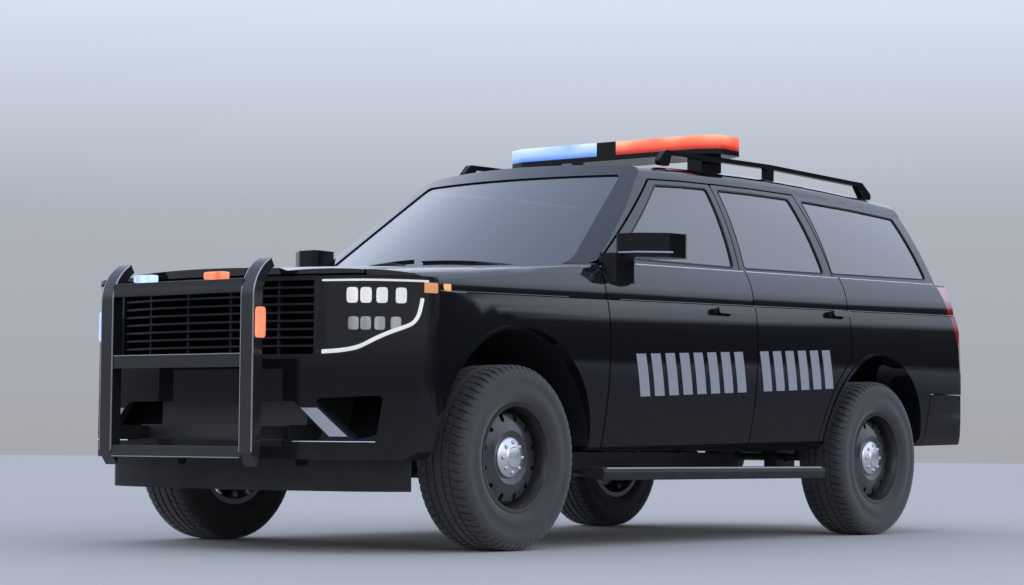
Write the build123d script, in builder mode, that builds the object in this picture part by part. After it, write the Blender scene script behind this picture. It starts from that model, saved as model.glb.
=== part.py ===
from build123d import *
import os
from math import cos, radians, sin, sqrt

# A full-size police sport utility vehicle, parked level on its tyres.
# Millimetres. +X is the car's left side, -Y its nose, +Z up. The origin is on the ground,
# midway along the car, in its plane of symmetry. Stations run back from a datum just ahead of
# the front axle.

# Driving sizes
WHEELBASE = 3112
FRONT_OVERHANG = 970
PUSH_BUMPER_REACH = 165
REAR_OVERHANG = 1160
FRONT_STATION = 40
REAR_STATION = FRONT_STATION + WHEELBASE
BUMPER_STEP = 62
TRACK = 1712
TYRE_RADIUS = 407.5
TYRE_WIDTH = 275
RIM_RADIUS = 228.6
BODY_RAKE = 1.2
OVERALL_LENGTH = PUSH_BUMPER_REACH + FRONT_OVERHANG + WHEELBASE + REAR_OVERHANG
DATUM_Y = PUSH_BUMPER_REACH + FRONT_OVERHANG - FRONT_STATION - OVERALL_LENGTH / 2
REAR_AXLE_Y = DATUM_Y + REAR_STATION

# Body section: half widths and heights
SILL_Z = 430
SILL_HALF_WIDTH = 905
SIDE_HALF_WIDTH = 1004
SIDE_BULGE_Z = 960
CREASE_Z = 1150
CREASE_HALF_WIDTH = 986
CREASE_STEP = 9
BELT_Z = 1325
BELT_HALF_WIDTH = 928
GLASS_BELT_HALF_WIDTH = 905
GLASS_TOP_HALF_WIDTH = 706
GLASS_TOP_Z = 1795
ROOF_Z = 1898
ROOF_ARC_RADIUS = 20000
ROOF_CROWN_STATION = 2600

# Windscreen and tail planes, as two points on the centre line: station and height
SCREEN_FOOT = (450, 1275)
SCREEN_HEAD = (1210, 1800)
SCREEN_RADIUS = 3000
TAIL_GLASS_FOOT = (4165, 1310)
TAIL_GLASS_HEAD = (3945, 1810)
TAIL_RADIUS = 2600
TAIL_SLOPE_FOOT = (4264, 960)
TAIL_SLOPE_HEAD = (4150, 1372)

# Wall thicknesses and gaps
DOOR_WALL = 70
PILLAR_WALL = 45
ROOF_WALL = 34
FENDER_WALL = 26
SHUT_GAP = 8
GLASS = 5

FAR = 3000  # longer than any cut


def at(station, height):
    """A point of the side view: station behind the datum line, and height."""
    return (DATUM_Y + station, height)


def side_outline(points, radius, x_from, x_to):
    """A prism across the car from a rounded outline drawn in the side view."""
    with BuildPart() as prism:
        with BuildSketch(Plane.YZ.offset(x_from)):
            with BuildLine():
                FilletPolyline(*[at(*p) for p in points], radius=radius, close=True)
            make_face()
        extrude(amount=x_to - x_from)
    return prism.part


def lower_prism(inset):
    """The body's sides below the belt, run along the car with its slight rake."""
    with BuildPart() as prism:
        with BuildSketch(Plane.XZ.offset(FAR)):
            with BuildLine():
                foot = Line((0, SILL_Z), (SILL_HALF_WIDTH - inset, SILL_Z))
                tuck = Line(foot @ 1, (SILL_HALF_WIDTH + 45 - inset, SILL_Z + 45))
                flank = ThreePointArc(
                    tuck @ 1,
                    (SIDE_HALF_WIDTH - 14 - inset, SILL_Z + 270),
                    (SIDE_HALF_WIDTH - inset, SIDE_BULGE_Z),
                )
                upper = ThreePointArc(
                    flank @ 1,
                    (SIDE_HALF_WIDTH - 4 - inset, SIDE_BULGE_Z + 100),
                    (CREASE_HALF_WIDTH - inset, CREASE_Z),
                )
                step = Line(upper @ 1, (CREASE_HALF_WIDTH - CREASE_STEP - inset, CREASE_Z + 8))
                shoulder = ThreePointArc(
                    step @ 1,
                    (CREASE_HALF_WIDTH - 22 - inset, CREASE_Z + 95),
                    (BELT_HALF_WIDTH - inset, BELT_Z),
                )
                lid = Line(shoulder @ 1, (0, BELT_Z))
                Line(lid @ 1, foot @ 0)
            make_face()
            mirror(about=Plane.YZ)
        extrude(amount=-2 * FAR)
    return prism.part.rotate(Axis((0, 0, BELT_Z), (1, 0, 0)), BODY_RAKE)


def plan_prism(inset):
    """The body in plan: a curved nose, tapered front fenders and a slightly curved tail."""
    nose = FRONT_STATION - FRONT_OVERHANG + inset
    tail = REAR_STATION + REAR_OVERHANG - BUMPER_STEP - inset
    with BuildPart() as prism:
        with BuildSketch(Plane.XY):
            with BuildLine():
                front = ThreePointArc(
                    (0, DATUM_Y + nose),
                    (420, DATUM_Y + nose + 30),
                    (760 - inset / 2, DATUM_Y + nose + 122),
                )
                corner = ThreePointArc(
                    front @ 1,
                    (921 - inset * 0.8, DATUM_Y + nose + 270),
                    (985 - inset, DATUM_Y + nose + 500),
                )
                fender = Line(corner @ 1, (1012 - inset, DATUM_Y + 300))
                side = Line(fender @ 1, (1012 - inset, DATUM_Y + tail - 420))
                hip = ThreePointArc(
                    side @ 1,
                    (985 - inset * 0.8, DATUM_Y + tail - 190),
                    (890 - inset / 2, DATUM_Y + tail - 45),
                )
                rear = ThreePointArc(
                    hip @ 1,
                    (450, DATUM_Y + tail - 10),
                    (0, DATUM_Y + tail),
                )
                Line(rear @ 1, front @ 0)
            make_face()
            mirror(about=Plane.YZ)
        extrude(amount=FAR)
    return prism.part


# Hood and fender tops as three sections: station, height on the centre line, at the
# fender's inner edge and at its brow
CROWN_SECTIONS = [
    (-1000, 1206, 1172, 1148),
    (-120, 1268, 1244, 1222),
    (760, 1312, 1306, 1304),
]


def hood_crown(inset):
    """Everything below the hood and fender tops, lofted through the crown sections."""
    with BuildPart() as crown:
        for station, middle_z, wing_z, brow_z in CROWN_SECTIONS:
            with BuildSketch(Plane.XZ.offset(-(DATUM_Y + station))):
                top = middle_z - inset
                with BuildLine():
                    middle = ThreePointArc((0, top), (215, top - 3), (425, top - 11))
                    bevel = Line(middle @ 1, (462, top - 24))
                    wing = ThreePointArc(
                        bevel @ 1,
                        (640, (top - 24 + wing_z - inset) / 2 + 7),
                        (812, wing_z - inset),
                    )
                    brow = ThreePointArc(
                        wing @ 1,
                        (880, (wing_z + brow_z) / 2 + 5 - inset),
                        (940 - inset / 2, brow_z - inset),
                    )
                    drop = ThreePointArc(
                        brow @ 1, (996, brow_z - 62 - inset), (1035, brow_z - 190)
                    )
                    wall = Line(drop @ 1, (1035, 0))
                    floor = Line(wall @ 1, (0, 0))
                    Line(floor @ 1, middle @ 0)
                make_face()
                mirror(about=Plane.YZ)
        loft()
    return crown.part


def greenhouse(inset, roof_inset):
    """The cabin above the belt: pillars, glass and roof turned about one far axis."""
    crown_y = DATUM_Y + ROOF_CROWN_STATION
    with BuildPart() as house:
        with BuildSketch(Plane.XZ.offset(-crown_y)):
            top = ROOF_Z - roof_inset
            with BuildLine():
                foot = Line((0, BELT_Z - 175), (GLASS_BELT_HALF_WIDTH + 22 - inset, BELT_Z - 175))
                side = ThreePointArc(
                    foot @ 1,
                    (
                        (GLASS_BELT_HALF_WIDTH + GLASS_TOP_HALF_WIDTH) / 2 + 28 - inset,
                        (BELT_Z + GLASS_TOP_Z) / 2 - 20,
                    ),
                    (GLASS_TOP_HALF_WIDTH - inset, GLASS_TOP_Z),
                )
                cant = ThreePointArc(
                    side @ 1,
                    (GLASS_TOP_HALF_WIDTH - 32 - inset, top - 50),
                    (GLASS_TOP_HALF_WIDTH - 96 - inset, top - 24),
                )
                roof = ThreePointArc(cant @ 1, (310, top - 6), (0, top))
                Line(roof @ 1, foot @ 0)
            make_face()
            mirror(about=Plane.YZ)
        far_axis = Axis((0, crown_y, ROOF_Z - ROOF_ARC_RADIUS), (1, 0, 0))
        revolve(axis=far_axis, revolution_arc=16)
    return house.part.rotate(far_axis, -8)


def leaning_cylinder(foot, head, radius, inset, rearward):
    """A very large round column whose skin is a curved windscreen or tail plane."""
    (y0, z0), (y1, z1) = at(*foot), at(*head)
    length = sqrt((y1 - y0) ** 2 + (z1 - z0) ** 2)
    along = Vector(0, (y1 - y0) / length, (z1 - z0) / length)
    inward = Vector(0, along.Z, -along.Y) if rearward else Vector(0, -along.Z, along.Y)
    centre = Vector(0, y0, z0) + inward * (radius + inset)
    with BuildPart() as column:
        with BuildSketch(Plane(origin=centre - along * 2 * FAR, z_dir=along)):
            Circle(radius)
        extrude(amount=4 * FAR)
    return column.part


def cabin_form(inset, roof_inset, screen_inset):
    """The greenhouse cut by the leaning windscreen and tail planes."""
    with BuildPart() as form:
        add(greenhouse(inset, roof_inset))
        add(
            leaning_cylinder(SCREEN_FOOT, SCREEN_HEAD, SCREEN_RADIUS, screen_inset, True),
            mode=Mode.INTERSECT,
        )
        add(
            leaning_cylinder(TAIL_GLASS_FOOT, TAIL_GLASS_HEAD, TAIL_RADIUS, screen_inset, False),
            mode=Mode.INTERSECT,
        )
    return form.part


def tub_form(inset, nose_inset):
    """The body below the belt."""
    with BuildPart() as form:
        add(lower_prism(inset))
        add(plan_prism(nose_inset), mode=Mode.INTERSECT)
        add(
            leaning_cylinder(TAIL_SLOPE_FOOT, TAIL_SLOPE_HEAD, TAIL_RADIUS, nose_inset, False),
            mode=Mode.INTERSECT,
        )
    return form.part


def block(x_from, x_to, station_from, station_to, z_from, z_to):
    """A plain box between two widths, two stations and two heights."""
    with BuildPart() as box:
        with Locations(
            (
                (x_from + x_to) / 2,
                DATUM_Y + (station_from + station_to) / 2,
                (z_from + z_to) / 2,
            )
        ):
            Box(x_to - x_from, station_to - station_from, z_to - z_from)
    return box.part


def cross_drum(station, height, radius, x_from, x_to):
    """A round bar across the car, from one width to another."""
    with BuildPart() as drum:
        with BuildSketch(Plane.YZ.offset(x_from)):
            with Locations(at(station, height)):
                Circle(radius)
        extrude(amount=x_to - x_from)
    return drum.part


def meet(*forms):
    """What the given forms have in common."""
    with BuildPart() as common:
        add(forms[0])
        for form in forms[1:]:
            add(form, mode=Mode.INTERSECT, clean=False)
    return common.part


def carve(form, *cutters):
    """A form less the cutters."""
    with BuildPart() as carved:
        add(form)
        add(list(cutters), mode=Mode.SUBTRACT, clean=False)
    return carved.part


def join(*forms):
    """Forms fused into one."""
    with BuildPart() as joined:
        add(list(forms))
    return joined.part


def both_sides(form):
    """A left piece and its mirror image, as two solids of one node."""
    with BuildPart() as pair:
        add(form)
        mirror(form, about=Plane.YZ)
    return pair.part


def front_outline(points, radius, station_from, station_to):
    """A prism along the car from a rounded outline drawn in the front view."""
    with BuildPart() as prism:
        with BuildSketch(Plane.XZ.offset(-(DATUM_Y + station_from))):
            with BuildLine():
                FilletPolyline(*points, radius=radius, close=True)
            make_face()
        extrude(amount=station_from - station_to)
    return prism.part


def plan_outline(points, radius, z_from, z_to):
    """An upright prism from a rounded outline of widths and stations drawn from above."""
    with BuildPart() as prism:
        with BuildSketch(Plane.XY.offset(z_from)):
            with BuildLine():
                FilletPolyline(*[(x, DATUM_Y + s) for x, s in points], radius=radius, close=True)
            make_face()
        extrude(amount=z_to - z_from)
    return prism.part


# Doors: outlines and windows in the side view as (station, height), front corner first.
# Each is drawn round the panel itself; the opening in the body side is a shut gap larger.
DOOR_FRONT = 692
B_LINE = 1927
REAR_DOOR_END = 2832
DOOR_FOOT_Z = 446
DOOR_SKIN = 8
DOOR_LIP = 24
REAR_ARCH_STATION = 3150
REAR_ARCH_Z = 452
REAR_ARCH_RADIUS = 500
FRONT_ARCH_STATION = 40
FRONT_ARCH_Z = 432
FRONT_ARCH_RADIUS = 545
ARCH_LIP = 15
PILLAR_DEPTH = 62
SEAT_GAP = 0.3
CLIP_END = 684


def door_panel_outline(front, inset):
    """The side view outline of a front or rear door, drawn in by an inset."""
    if front:
        points = [
            (DOOR_FRONT + inset, DOOR_FOOT_Z + inset),
            (DOOR_FRONT + inset, 1286 - inset),
            (772 + inset, 1320 - inset),
            (1404 + inset, 1762 - inset),
            (1665, 1775 - inset),
            (B_LINE - inset, 1782 - inset),
            (B_LINE - inset, DOOR_FOOT_Z + inset),
        ]
    else:
        points = [
            (B_LINE + SHUT_GAP + inset, DOOR_FOOT_Z + inset),
            (B_LINE + SHUT_GAP + inset, 1783 - inset),
            (2300, 1790 - inset),
            (2716 - inset, 1792 - inset),
            (REAR_DOOR_END - inset, 1330 - inset),
            (REAR_DOOR_END - inset, DOOR_FOOT_Z + inset),
        ]
    form = side_outline(points, 12, 500, 1100)
    if front:
        return form
    return carve(
        form,
        cross_drum(REAR_ARCH_STATION, REAR_ARCH_Z, REAR_ARCH_RADIUS + 66 + inset, 500, 1100),
    )


def window_outline(name, inset):
    """The side view outline of one side window, drawn in by an inset."""
    outlines = {
        "front": [
            (905 + inset * 2, 1342 + inset),
            (1436 + inset, 1738 - inset),
            (1660, 1750 - inset),
            (B_LINE - 44 - inset, 1757 - inset),
            (B_LINE - 44 - inset, 1352 + inset),
        ],
        "rear": [
            (B_LINE + 52 + inset, 1354 + inset),
            (B_LINE + 52 + inset, 1758 - inset),
            (2300, 1765 - inset),
            (2652 - inset, 1767 - inset),
            (2748 - inset, 1372 + inset),
        ],
        "quarter": [
            (2832 + inset, 1376 + inset),
            (2776 + inset, 1766 - inset),
            (3300, 1760 - inset),
            (3762 - inset, 1744 - inset),
            (3880 - inset, 1404 + inset),
        ],
    }
    return side_outline(outlines[name], 22, 500, 1100)


# Forms that several panels are cut from
TUB = tub_form(0, 0)
CLIP = meet(TUB, hood_crown(0), block(-1100, 1100, -1500, CLIP_END, 200, 1500))
CABIN = join(meet(TUB, block(-1100, 1100, CLIP_END, 5000, 200, 1500)), cabin_form(0, 0, 0))
CABIN_INNER = join(
    meet(tub_form(DOOR_WALL, 60), block(-1100, 1100, CLIP_END, 5000, 200, 1500)),
    cabin_form(PILLAR_WALL, ROOF_WALL, 30),
)
CABIN_SKIN = join(
    meet(tub_form(DOOR_SKIN, 60), block(-1100, 1100, CLIP_END, 5000, 200, 1500)),
    cabin_form(DOOR_SKIN, ROOF_WALL, 30),
)
POST_OUTER = join(
    meet(tub_form(DOOR_WALL + 4, 66), block(-1100, 1100, 620, 4150, 200, 1500)),
    cabin_form(PILLAR_WALL + 4, ROOF_WALL + 4, 34),
)
POST_INNER = join(
    meet(tub_form(DOOR_WALL + PILLAR_DEPTH, 70), block(-1100, 1100, 600, 4200, 200, 1500)),
    cabin_form(PILLAR_WALL + PILLAR_DEPTH, ROOF_WALL + 4, 34),
)
CABIN_WALL = carve(CABIN, CABIN_INNER)
LEFT_WALL = meet(CABIN_WALL, block(0, 1100, 400, 4400, 200, 2000))

# Windscreen and tail openings in the front view
SCREEN_OPENING = [(-778, 1302), (-612, 1786), (612, 1786), (778, 1302)]
GATE_FOOT_Z = 772
GATE_OUTLINE = [
    (-778, GATE_FOOT_Z), (-790, 1300), (-640, 1800), (-640, 1900),
    (640, 1900), (640, 1800), (790, 1300), (778, GATE_FOOT_Z),
]
GATE_GLASS = [(-668, 1352), (-560, 1786), (560, 1786), (668, 1352)]
GATE_LINE = 3884
BUMPER_TOP_Z = 758
BUMPER_LINE = 3702
TAIL_LAMP_X = 800
TAIL_LAMP_TOP = 1364
TAIL_LAMP_DEPTH = 32


def grown(points, amount):
    """An outline moved out from its own middle by an amount in each direction."""
    xs = [p[0] for p in points]
    zs = [p[1] for p in points]
    mid_x = (min(xs) + max(xs)) / 2
    mid_z = (min(zs) + max(zs)) / 2
    return [
        (x + (amount if x > mid_x else -amount), z + (amount if z > mid_z else -amount))
        for x, z in points
    ]


def gate_zone(amount):
    """The space of the liftgate, grown by an amount."""
    return meet(
        front_outline(grown(GATE_OUTLINE, amount), 30, 3700, 4500),
        side_outline(
            [
                (3780, 700),
                (3780, 1800),
                (GATE_LINE - amount, 1800),
                (GATE_LINE - amount, 1990),
                (4450, 1990),
                (4450, 700),
            ],
            5,
            -1000,
            1000,
        ),
    )


def tail_lamp_zone(amount):
    """The space of the left tail lamp, grown by an amount."""
    return meet(
        block(TAIL_LAMP_X - amount, 1100, 3800, 4500, 890 - amount, TAIL_LAMP_TOP + amount),
        side_outline(
            [(4082 - amount, 800), (3862 - amount, 1400), (4500, 1400), (4500, 800)], 10, 700, 1100
        ),
    )


ROOF_SPLIT = 606
HOUSE_INNER_X = 640


# Left body side: cant rail, pillars, rocker, rear quarter with its wheelhouse and arch lip
def body_side():
    posts = carve(POST_OUTER, POST_INNER)
    rocker = meet(posts, block(600, 1100, 620, 2900, 440, 560))
    hinge_post = carve(
        meet(posts, block(600, 1100, 620, 760, 440, 1290)),
        block(600, 1100, 600, CLIP_END, 1245, 1400),
    )
    foot_post = meet(
        carve(meet(tub_form(FENDER_WALL + SEAT_GAP, 66), hood_crown(FENDER_WALL + SEAT_GAP)), POST_INNER),
        block(600, 1100, 620, CLIP_END - 2, 440, 1300),
    )
    b_post = meet(posts, block(500, 1100, 1868, 1992, 440, 1800))
    b_head = meet(
        carve(cabin_form(20, 12, 34), POST_INNER),
        block(ROOF_SPLIT + SEAT_GAP, 1100, 1868, 1992, 1796, 1900),
    )
    screen_foot = carve(
        meet(
            block(782, 861, 622, 800, 1180, 1352),
            join(
                meet(cabin_form(3, 3, 3), block(0, 1100, CLIP_END + 1, 900, 1100, 1400)),
                meet(CLIP, hood_crown(FENDER_WALL + SEAT_GAP)),
                block(782, 861, CLIP_END - 1, CLIP_END + 20, 1100, 1260),
            ),
        ),
        door_panel_outline(True, -SHUT_GAP),
    )
    tie = meet(
        carve(tub_form(40, 66), POST_INNER),
        block(500, 1100, REAR_DOOR_END + SHUT_GAP + 4, 2900, 440, 560),
    )
    skin = carve(
        LEFT_WALL,
        door_panel_outline(True, -SHUT_GAP),
        door_panel_outline(False, -SHUT_GAP),
        window_outline("quarter", 0),
        front_outline(SCREEN_OPENING, 40, 300, 1500),
        gate_zone(SHUT_GAP),
        carve(tail_lamp_zone(2), tub_form(TAIL_LAMP_DEPTH + 2, TAIL_LAMP_DEPTH + 2)),
        block(-100, 1100, BUMPER_LINE, 4500, 200, BUMPER_TOP_Z + 6),
        block(-100, ROOF_SPLIT + SEAT_GAP, 300, 4500, 1500, 2000),
        block(-100, 1100, 400, 4500, 200, 441),
        block(-100, TAIL_LAMP_X - 70, 3900, 4500, 200, 1400),
        block(-100, 1100, 200, CLIP_END + 30, 200, 1307),
        block(500, 1100, B_LINE - 20, B_LINE + 30, 200, 480),
    )
    house = carve(
        cross_drum(REAR_ARCH_STATION, REAR_ARCH_Z, REAR_ARCH_RADIUS + 12, HOUSE_INNER_X, 960),
        block(0, 1100, 2000, 4500, 0, 440),
    )
    lip = meet(
        cross_drum(
            REAR_ARCH_STATION, REAR_ARCH_Z, REAR_ARCH_RADIUS + ARCH_LIP, 900, 1100
        ),
        tub_form(-6, -6),
        block(900, 1100, 2000, 4500, 440, 1400),
    )
    whole = join(
        skin, rocker, hinge_post, foot_post, b_post, b_head, screen_foot, tie,
        meet(house, join(CABIN_INNER, LEFT_WALL)), lip,
    )
    return carve(
        whole,
        cross_drum(REAR_ARCH_STATION, REAR_ARCH_Z, REAR_ARCH_RADIUS, HOUSE_INNER_X + 8, 1100),
        block(0, HOUSE_INNER_X + 20, 2500, 3700, 200, 600),
    )


LEFT_SIDE = body_side()

with BuildPart() as body_side_left:
    add(LEFT_SIDE)

with BuildPart() as body_side_right:
    mirror(LEFT_SIDE, about=Plane.YZ)

with BuildPart() as roof_panel:
    add(
        carve(
            meet(CABIN_WALL, block(-ROOF_SPLIT, ROOF_SPLIT, 1000, 4000, 1700, 2000)),
            front_outline(SCREEN_OPENING, 40, 300, 1500),
            gate_zone(SHUT_GAP),
        )
    )

# Cowl: firewall, plenum and the sill under the windscreen
FIREWALL_STATION = 622
FIREWALL_THICK = 58
HOOD_END = 404
COWL_SHEET = 24
with BuildPart() as cowl:
    add(
        join(
            meet(
                tub_form(DOOR_WALL + PILLAR_DEPTH + SEAT_GAP, 66),
                block(
                    -1000, 1000, FIREWALL_STATION, FIREWALL_STATION + FIREWALL_THICK, 440, 1160
                ),
            ),
            block(-775, 775, 306, FIREWALL_STATION + FIREWALL_THICK, 1150, 1176),
            meet(
                carve(cabin_form(2, 2, 0), cabin_form(2, 2, 30)),
                block(-775, 775, 200, 700, 1150, 1300),
            ),
            carve(
                meet(
                    carve(hood_crown(0), hood_crown(COWL_SHEET)),
                    plan_outline(
                        [
                            (-794, HOOD_END + SHUT_GAP), (-794, 700),
                            (794, 700), (794, HOOD_END + SHUT_GAP),
                        ],
                        8, 1100, 1500,
                    ),
                ),
                cabin_form(-3, 0, -4),
                block(-1000, 1000, FIREWALL_STATION, 900, 1000, 1500),
            ),
            both_sides(
                meet(
                    block(738, 774, HOOD_END - 54, HOOD_END - 14, 1160, 1400),
                    hood_crown(FENDER_WALL + SEAT_GAP),
                )
            ),
        )
    )

# Floor: one step up over the rear axle, cut round the wheelhouses
FLOOR_Z = 480
CARGO_Z = 690
FLOOR_SHEET = 40
FLOOR_END = 4150
with BuildPart() as floor_pan:
    add(
        carve(
            meet(
                side_outline(
                    [
                        (FIREWALL_STATION + FIREWALL_THICK + SEAT_GAP, FLOOR_Z),
                        (2400, FLOOR_Z),
                        (2560, CARGO_Z),
                        (FLOOR_END, CARGO_Z),
                        (FLOOR_END, CARGO_Z - FLOOR_SHEET),
                        (2585, CARGO_Z - FLOOR_SHEET),
                        (2425, FLOOR_Z - FLOOR_SHEET),
                        (FIREWALL_STATION + FIREWALL_THICK + SEAT_GAP, FLOOR_Z - FLOOR_SHEET),
                    ],
                    4,
                    -1000,
                    1000,
                ),
                tub_form(DOOR_WALL + PILLAR_DEPTH + SEAT_GAP, 66),
            ),
            both_sides(
                cross_drum(
                    REAR_ARCH_STATION, REAR_ARCH_Z, REAR_ARCH_RADIUS + 12 + SEAT_GAP,
                    HOUSE_INNER_X - SEAT_GAP, 1100,
                )
            ),
        )
    )


# Doors: an outer skin with a hidden lip over a narrower inner shell, a window frame and a pull
# handle that stands off the skin on two feet
HANDLE_LENGTH = 184
HANDLE_PROUD = 36
HANDLE_BAR = 15
HANDLE_HEIGHT = 30
HANDLE_FOOT = 34
HANDLES = {True: (1643, 1124), False: (2718, 1158)}
HANDLE_BAND = carve(
    tub_form(-HANDLE_PROUD, -HANDLE_PROUD), tub_form(HANDLE_BAR - HANDLE_PROUD, -HANDLE_PROUD)
)
FOOT_BAND = carve(tub_form(HANDLE_BAR / 2 - HANDLE_PROUD, -HANDLE_PROUD), tub_form(1, 0))


def handle(front):
    """A door's pull handle: a rounded bar and its two feet."""
    station, height = HANDLES[front]
    half = HANDLE_LENGTH / 2
    rise = HANDLE_HEIGHT / 2
    bar = side_outline(
        [
            (station - half, height - rise),
            (station - half, height + rise),
            (station + half, height + rise),
            (station + half, height - rise),
        ],
        rise - 1,
        800,
        1100,
    )
    feet = [
        block(800, 1100, middle - HANDLE_FOOT / 2, middle + HANDLE_FOOT / 2, height - 10, height + 10)
        for middle in (station - half + HANDLE_FOOT, station + half - HANDLE_FOOT)
    ]
    return join(meet(HANDLE_BAND, bar), *[meet(FOOT_BAND, foot) for foot in feet])


def door(front):
    outer = meet(carve(CABIN, CABIN_SKIN), door_panel_outline(front, 0))
    inner = meet(carve(CABIN_SKIN, CABIN_INNER), door_panel_outline(front, DOOR_LIP))
    hinge = DOOR_FRONT if front else B_LINE + SHUT_GAP
    leaves = [
        meet(
            carve(CABIN_SKIN, tub_form(DOOR_WALL + 4 - SEAT_GAP, 0)),
            block(600, 1100, hinge + DOOR_LIP + 4, hinge + DOOR_LIP + 32, z, z + 90),
        )
        for z in (600, 1040)
    ]
    return carve(
        join(outer, inner, handle(front), *leaves),
        window_outline("front" if front else "rear", 0),
    )


LEFT_FRONT_DOOR = door(True)
LEFT_REAR_DOOR = door(False)
with BuildPart() as door_front_left:
    add(LEFT_FRONT_DOOR)
with BuildPart() as door_front_right:
    mirror(LEFT_FRONT_DOOR, about=Plane.YZ)
with BuildPart() as door_rear_left:
    add(LEFT_REAR_DOOR)
with BuildPart() as door_rear_right:
    mirror(LEFT_REAR_DOOR, about=Plane.YZ)

# Glass: one thin sheet following the cabin, set into each opening
GLASS_SET = 7
GLASS_OUTER = cabin_form(GLASS_SET, GLASS_SET, GLASS_SET)
GLASS_INNER = cabin_form(GLASS_SET + GLASS, GLASS_SET + GLASS, GLASS_SET + GLASS)


def pane(outline):
    """A sheet of glass that follows the cabin, within an outline."""
    return carve(meet(GLASS_OUTER, outline), GLASS_INNER)


LEFT_FRONT_GLASS = pane(window_outline("front", SEAT_GAP))
LEFT_REAR_GLASS = pane(window_outline("rear", SEAT_GAP))
LEFT_QUARTER_GLASS = pane(window_outline("quarter", SEAT_GAP))
with BuildPart() as glass_front_left:
    add(LEFT_FRONT_GLASS)
with BuildPart() as glass_front_right:
    mirror(LEFT_FRONT_GLASS, about=Plane.YZ)
with BuildPart() as glass_rear_left:
    add(LEFT_REAR_GLASS)
with BuildPart() as glass_rear_right:
    mirror(LEFT_REAR_GLASS, about=Plane.YZ)
with BuildPart() as quarter_glass:
    add(LEFT_QUARTER_GLASS)
    mirror(LEFT_QUARTER_GLASS, about=Plane.YZ)
with BuildPart() as windscreen:
    add(pane(front_outline(grown(SCREEN_OPENING, -SEAT_GAP), 40, 300, 1500)))

# Liftgate with its glass
with BuildPart() as liftgate:
    add(
        join(
            carve(
                meet(CABIN_WALL, gate_zone(0)),
                front_outline(GATE_GLASS, 45, 3600, 4500),
            ),
            *[
                meet(
                    block(x - 24, x + 24, 3846, 3925, 1798, 1900),
                    cabin_form(PILLAR_WALL, ROOF_WALL + SEAT_GAP, 12),
                )
                for x in (-240, 240)
            ],
        )
    )
with BuildPart() as tail_glass:
    add(pane(front_outline(grown(GATE_GLASS, -SEAT_GAP), 45, 3600, 4500)))

# Front clip: hood, fenders, bumper, grille and headlamps share the nose
HOOD_SIDE = [(-792, HOOD_END), (-800, -560), (-800, -1000), (800, -1000), (800, -560), (792, HOOD_END)]
HOOD_LIP_Z = 1176
GRILLE_HALF_WIDTH = 598
LAMP_TOP_Z = 1168
LAMP_FOOT = [(604, 832), (760, 842), (900, 930), (1040, 1006), (1040, LAMP_TOP_Z), (604, LAMP_TOP_Z)]
LAMP_END = -508
BUMPER_SEAM = -474
BUMPER_Z = 818
GRILLE_FOOT_Z = BUMPER_Z + SEAT_GAP
CLIP_INNER = meet(tub_form(FENDER_WALL, FENDER_WALL), hood_crown(FENDER_WALL))
CLIP_WALL = carve(CLIP, CLIP_INNER)


def hood_zone(amount):
    """The space of the hood, grown sideways and rearward by an amount."""
    points = [(x + (amount if x > 0 else -amount), s + (amount if s > 0 else 0)) for x, s in HOOD_SIDE]
    return plan_outline(points, 20, HOOD_LIP_Z - amount, 1500)


def lamp_zone(amount):
    """The space of the left headlamp, grown by an amount."""
    points = [(x - amount, z + (amount if z == LAMP_TOP_Z else -amount)) for x, z in LAMP_FOOT]
    return front_outline(points, 6, -1100, LAMP_END + amount)


with BuildPart() as hood:
    add(meet(CLIP_WALL, hood_zone(0)))


def fender():
    panel = carve(
        meet(CLIP_WALL, block(600, 1100, -900, CLIP_END, 440, 1400)),
        hood_zone(SHUT_GAP),
        lamp_zone(SEAT_GAP),
        block(0, 1100, -1200, BUMPER_SEAM, 0, 1012),
        block(0, 1100, -1200, LAMP_END, 0, LAMP_TOP_Z),
        block(0, 808, -1200, 300, 0, 1400),
        block(0, 800, 300, 800, 0, 1400),
    )
    lip = meet(
        cross_drum(FRONT_ARCH_STATION, FRONT_ARCH_Z, FRONT_ARCH_RADIUS + ARCH_LIP, 955, 1100),
        tub_form(-6, -6),
        block(900, 1100, BUMPER_SEAM, 700, 440, 1400),
    )
    return carve(
        join(panel, lip),
        cross_drum(FRONT_ARCH_STATION, FRONT_ARCH_Z, FRONT_ARCH_RADIUS, 500, 1100),
    )


LEFT_FENDER = fender()
with BuildPart() as front_fenders:
    add(LEFT_FENDER)
    mirror(LEFT_FENDER, about=Plane.YZ)

LINER_SHEET = 6
LINER_INNER_X = 462
with BuildPart() as wheel_liners:
    add(
        both_sides(
            carve(
                cross_drum(
                    FRONT_ARCH_STATION, FRONT_ARCH_Z, FRONT_ARCH_RADIUS - SEAT_GAP, LINER_INNER_X, 954
                ),
                cross_drum(
                    FRONT_ARCH_STATION, FRONT_ARCH_Z, FRONT_ARCH_RADIUS - LINER_SHEET,
                    LINER_INNER_X + LINER_SHEET, 954,
                ),
                block(0, 1100, -1000, 1000, -500, 460),
                block(0, LINER_INNER_X + LINER_SHEET + 1, -1000, 1000, -500, 640),
            )
        )
    )

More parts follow.
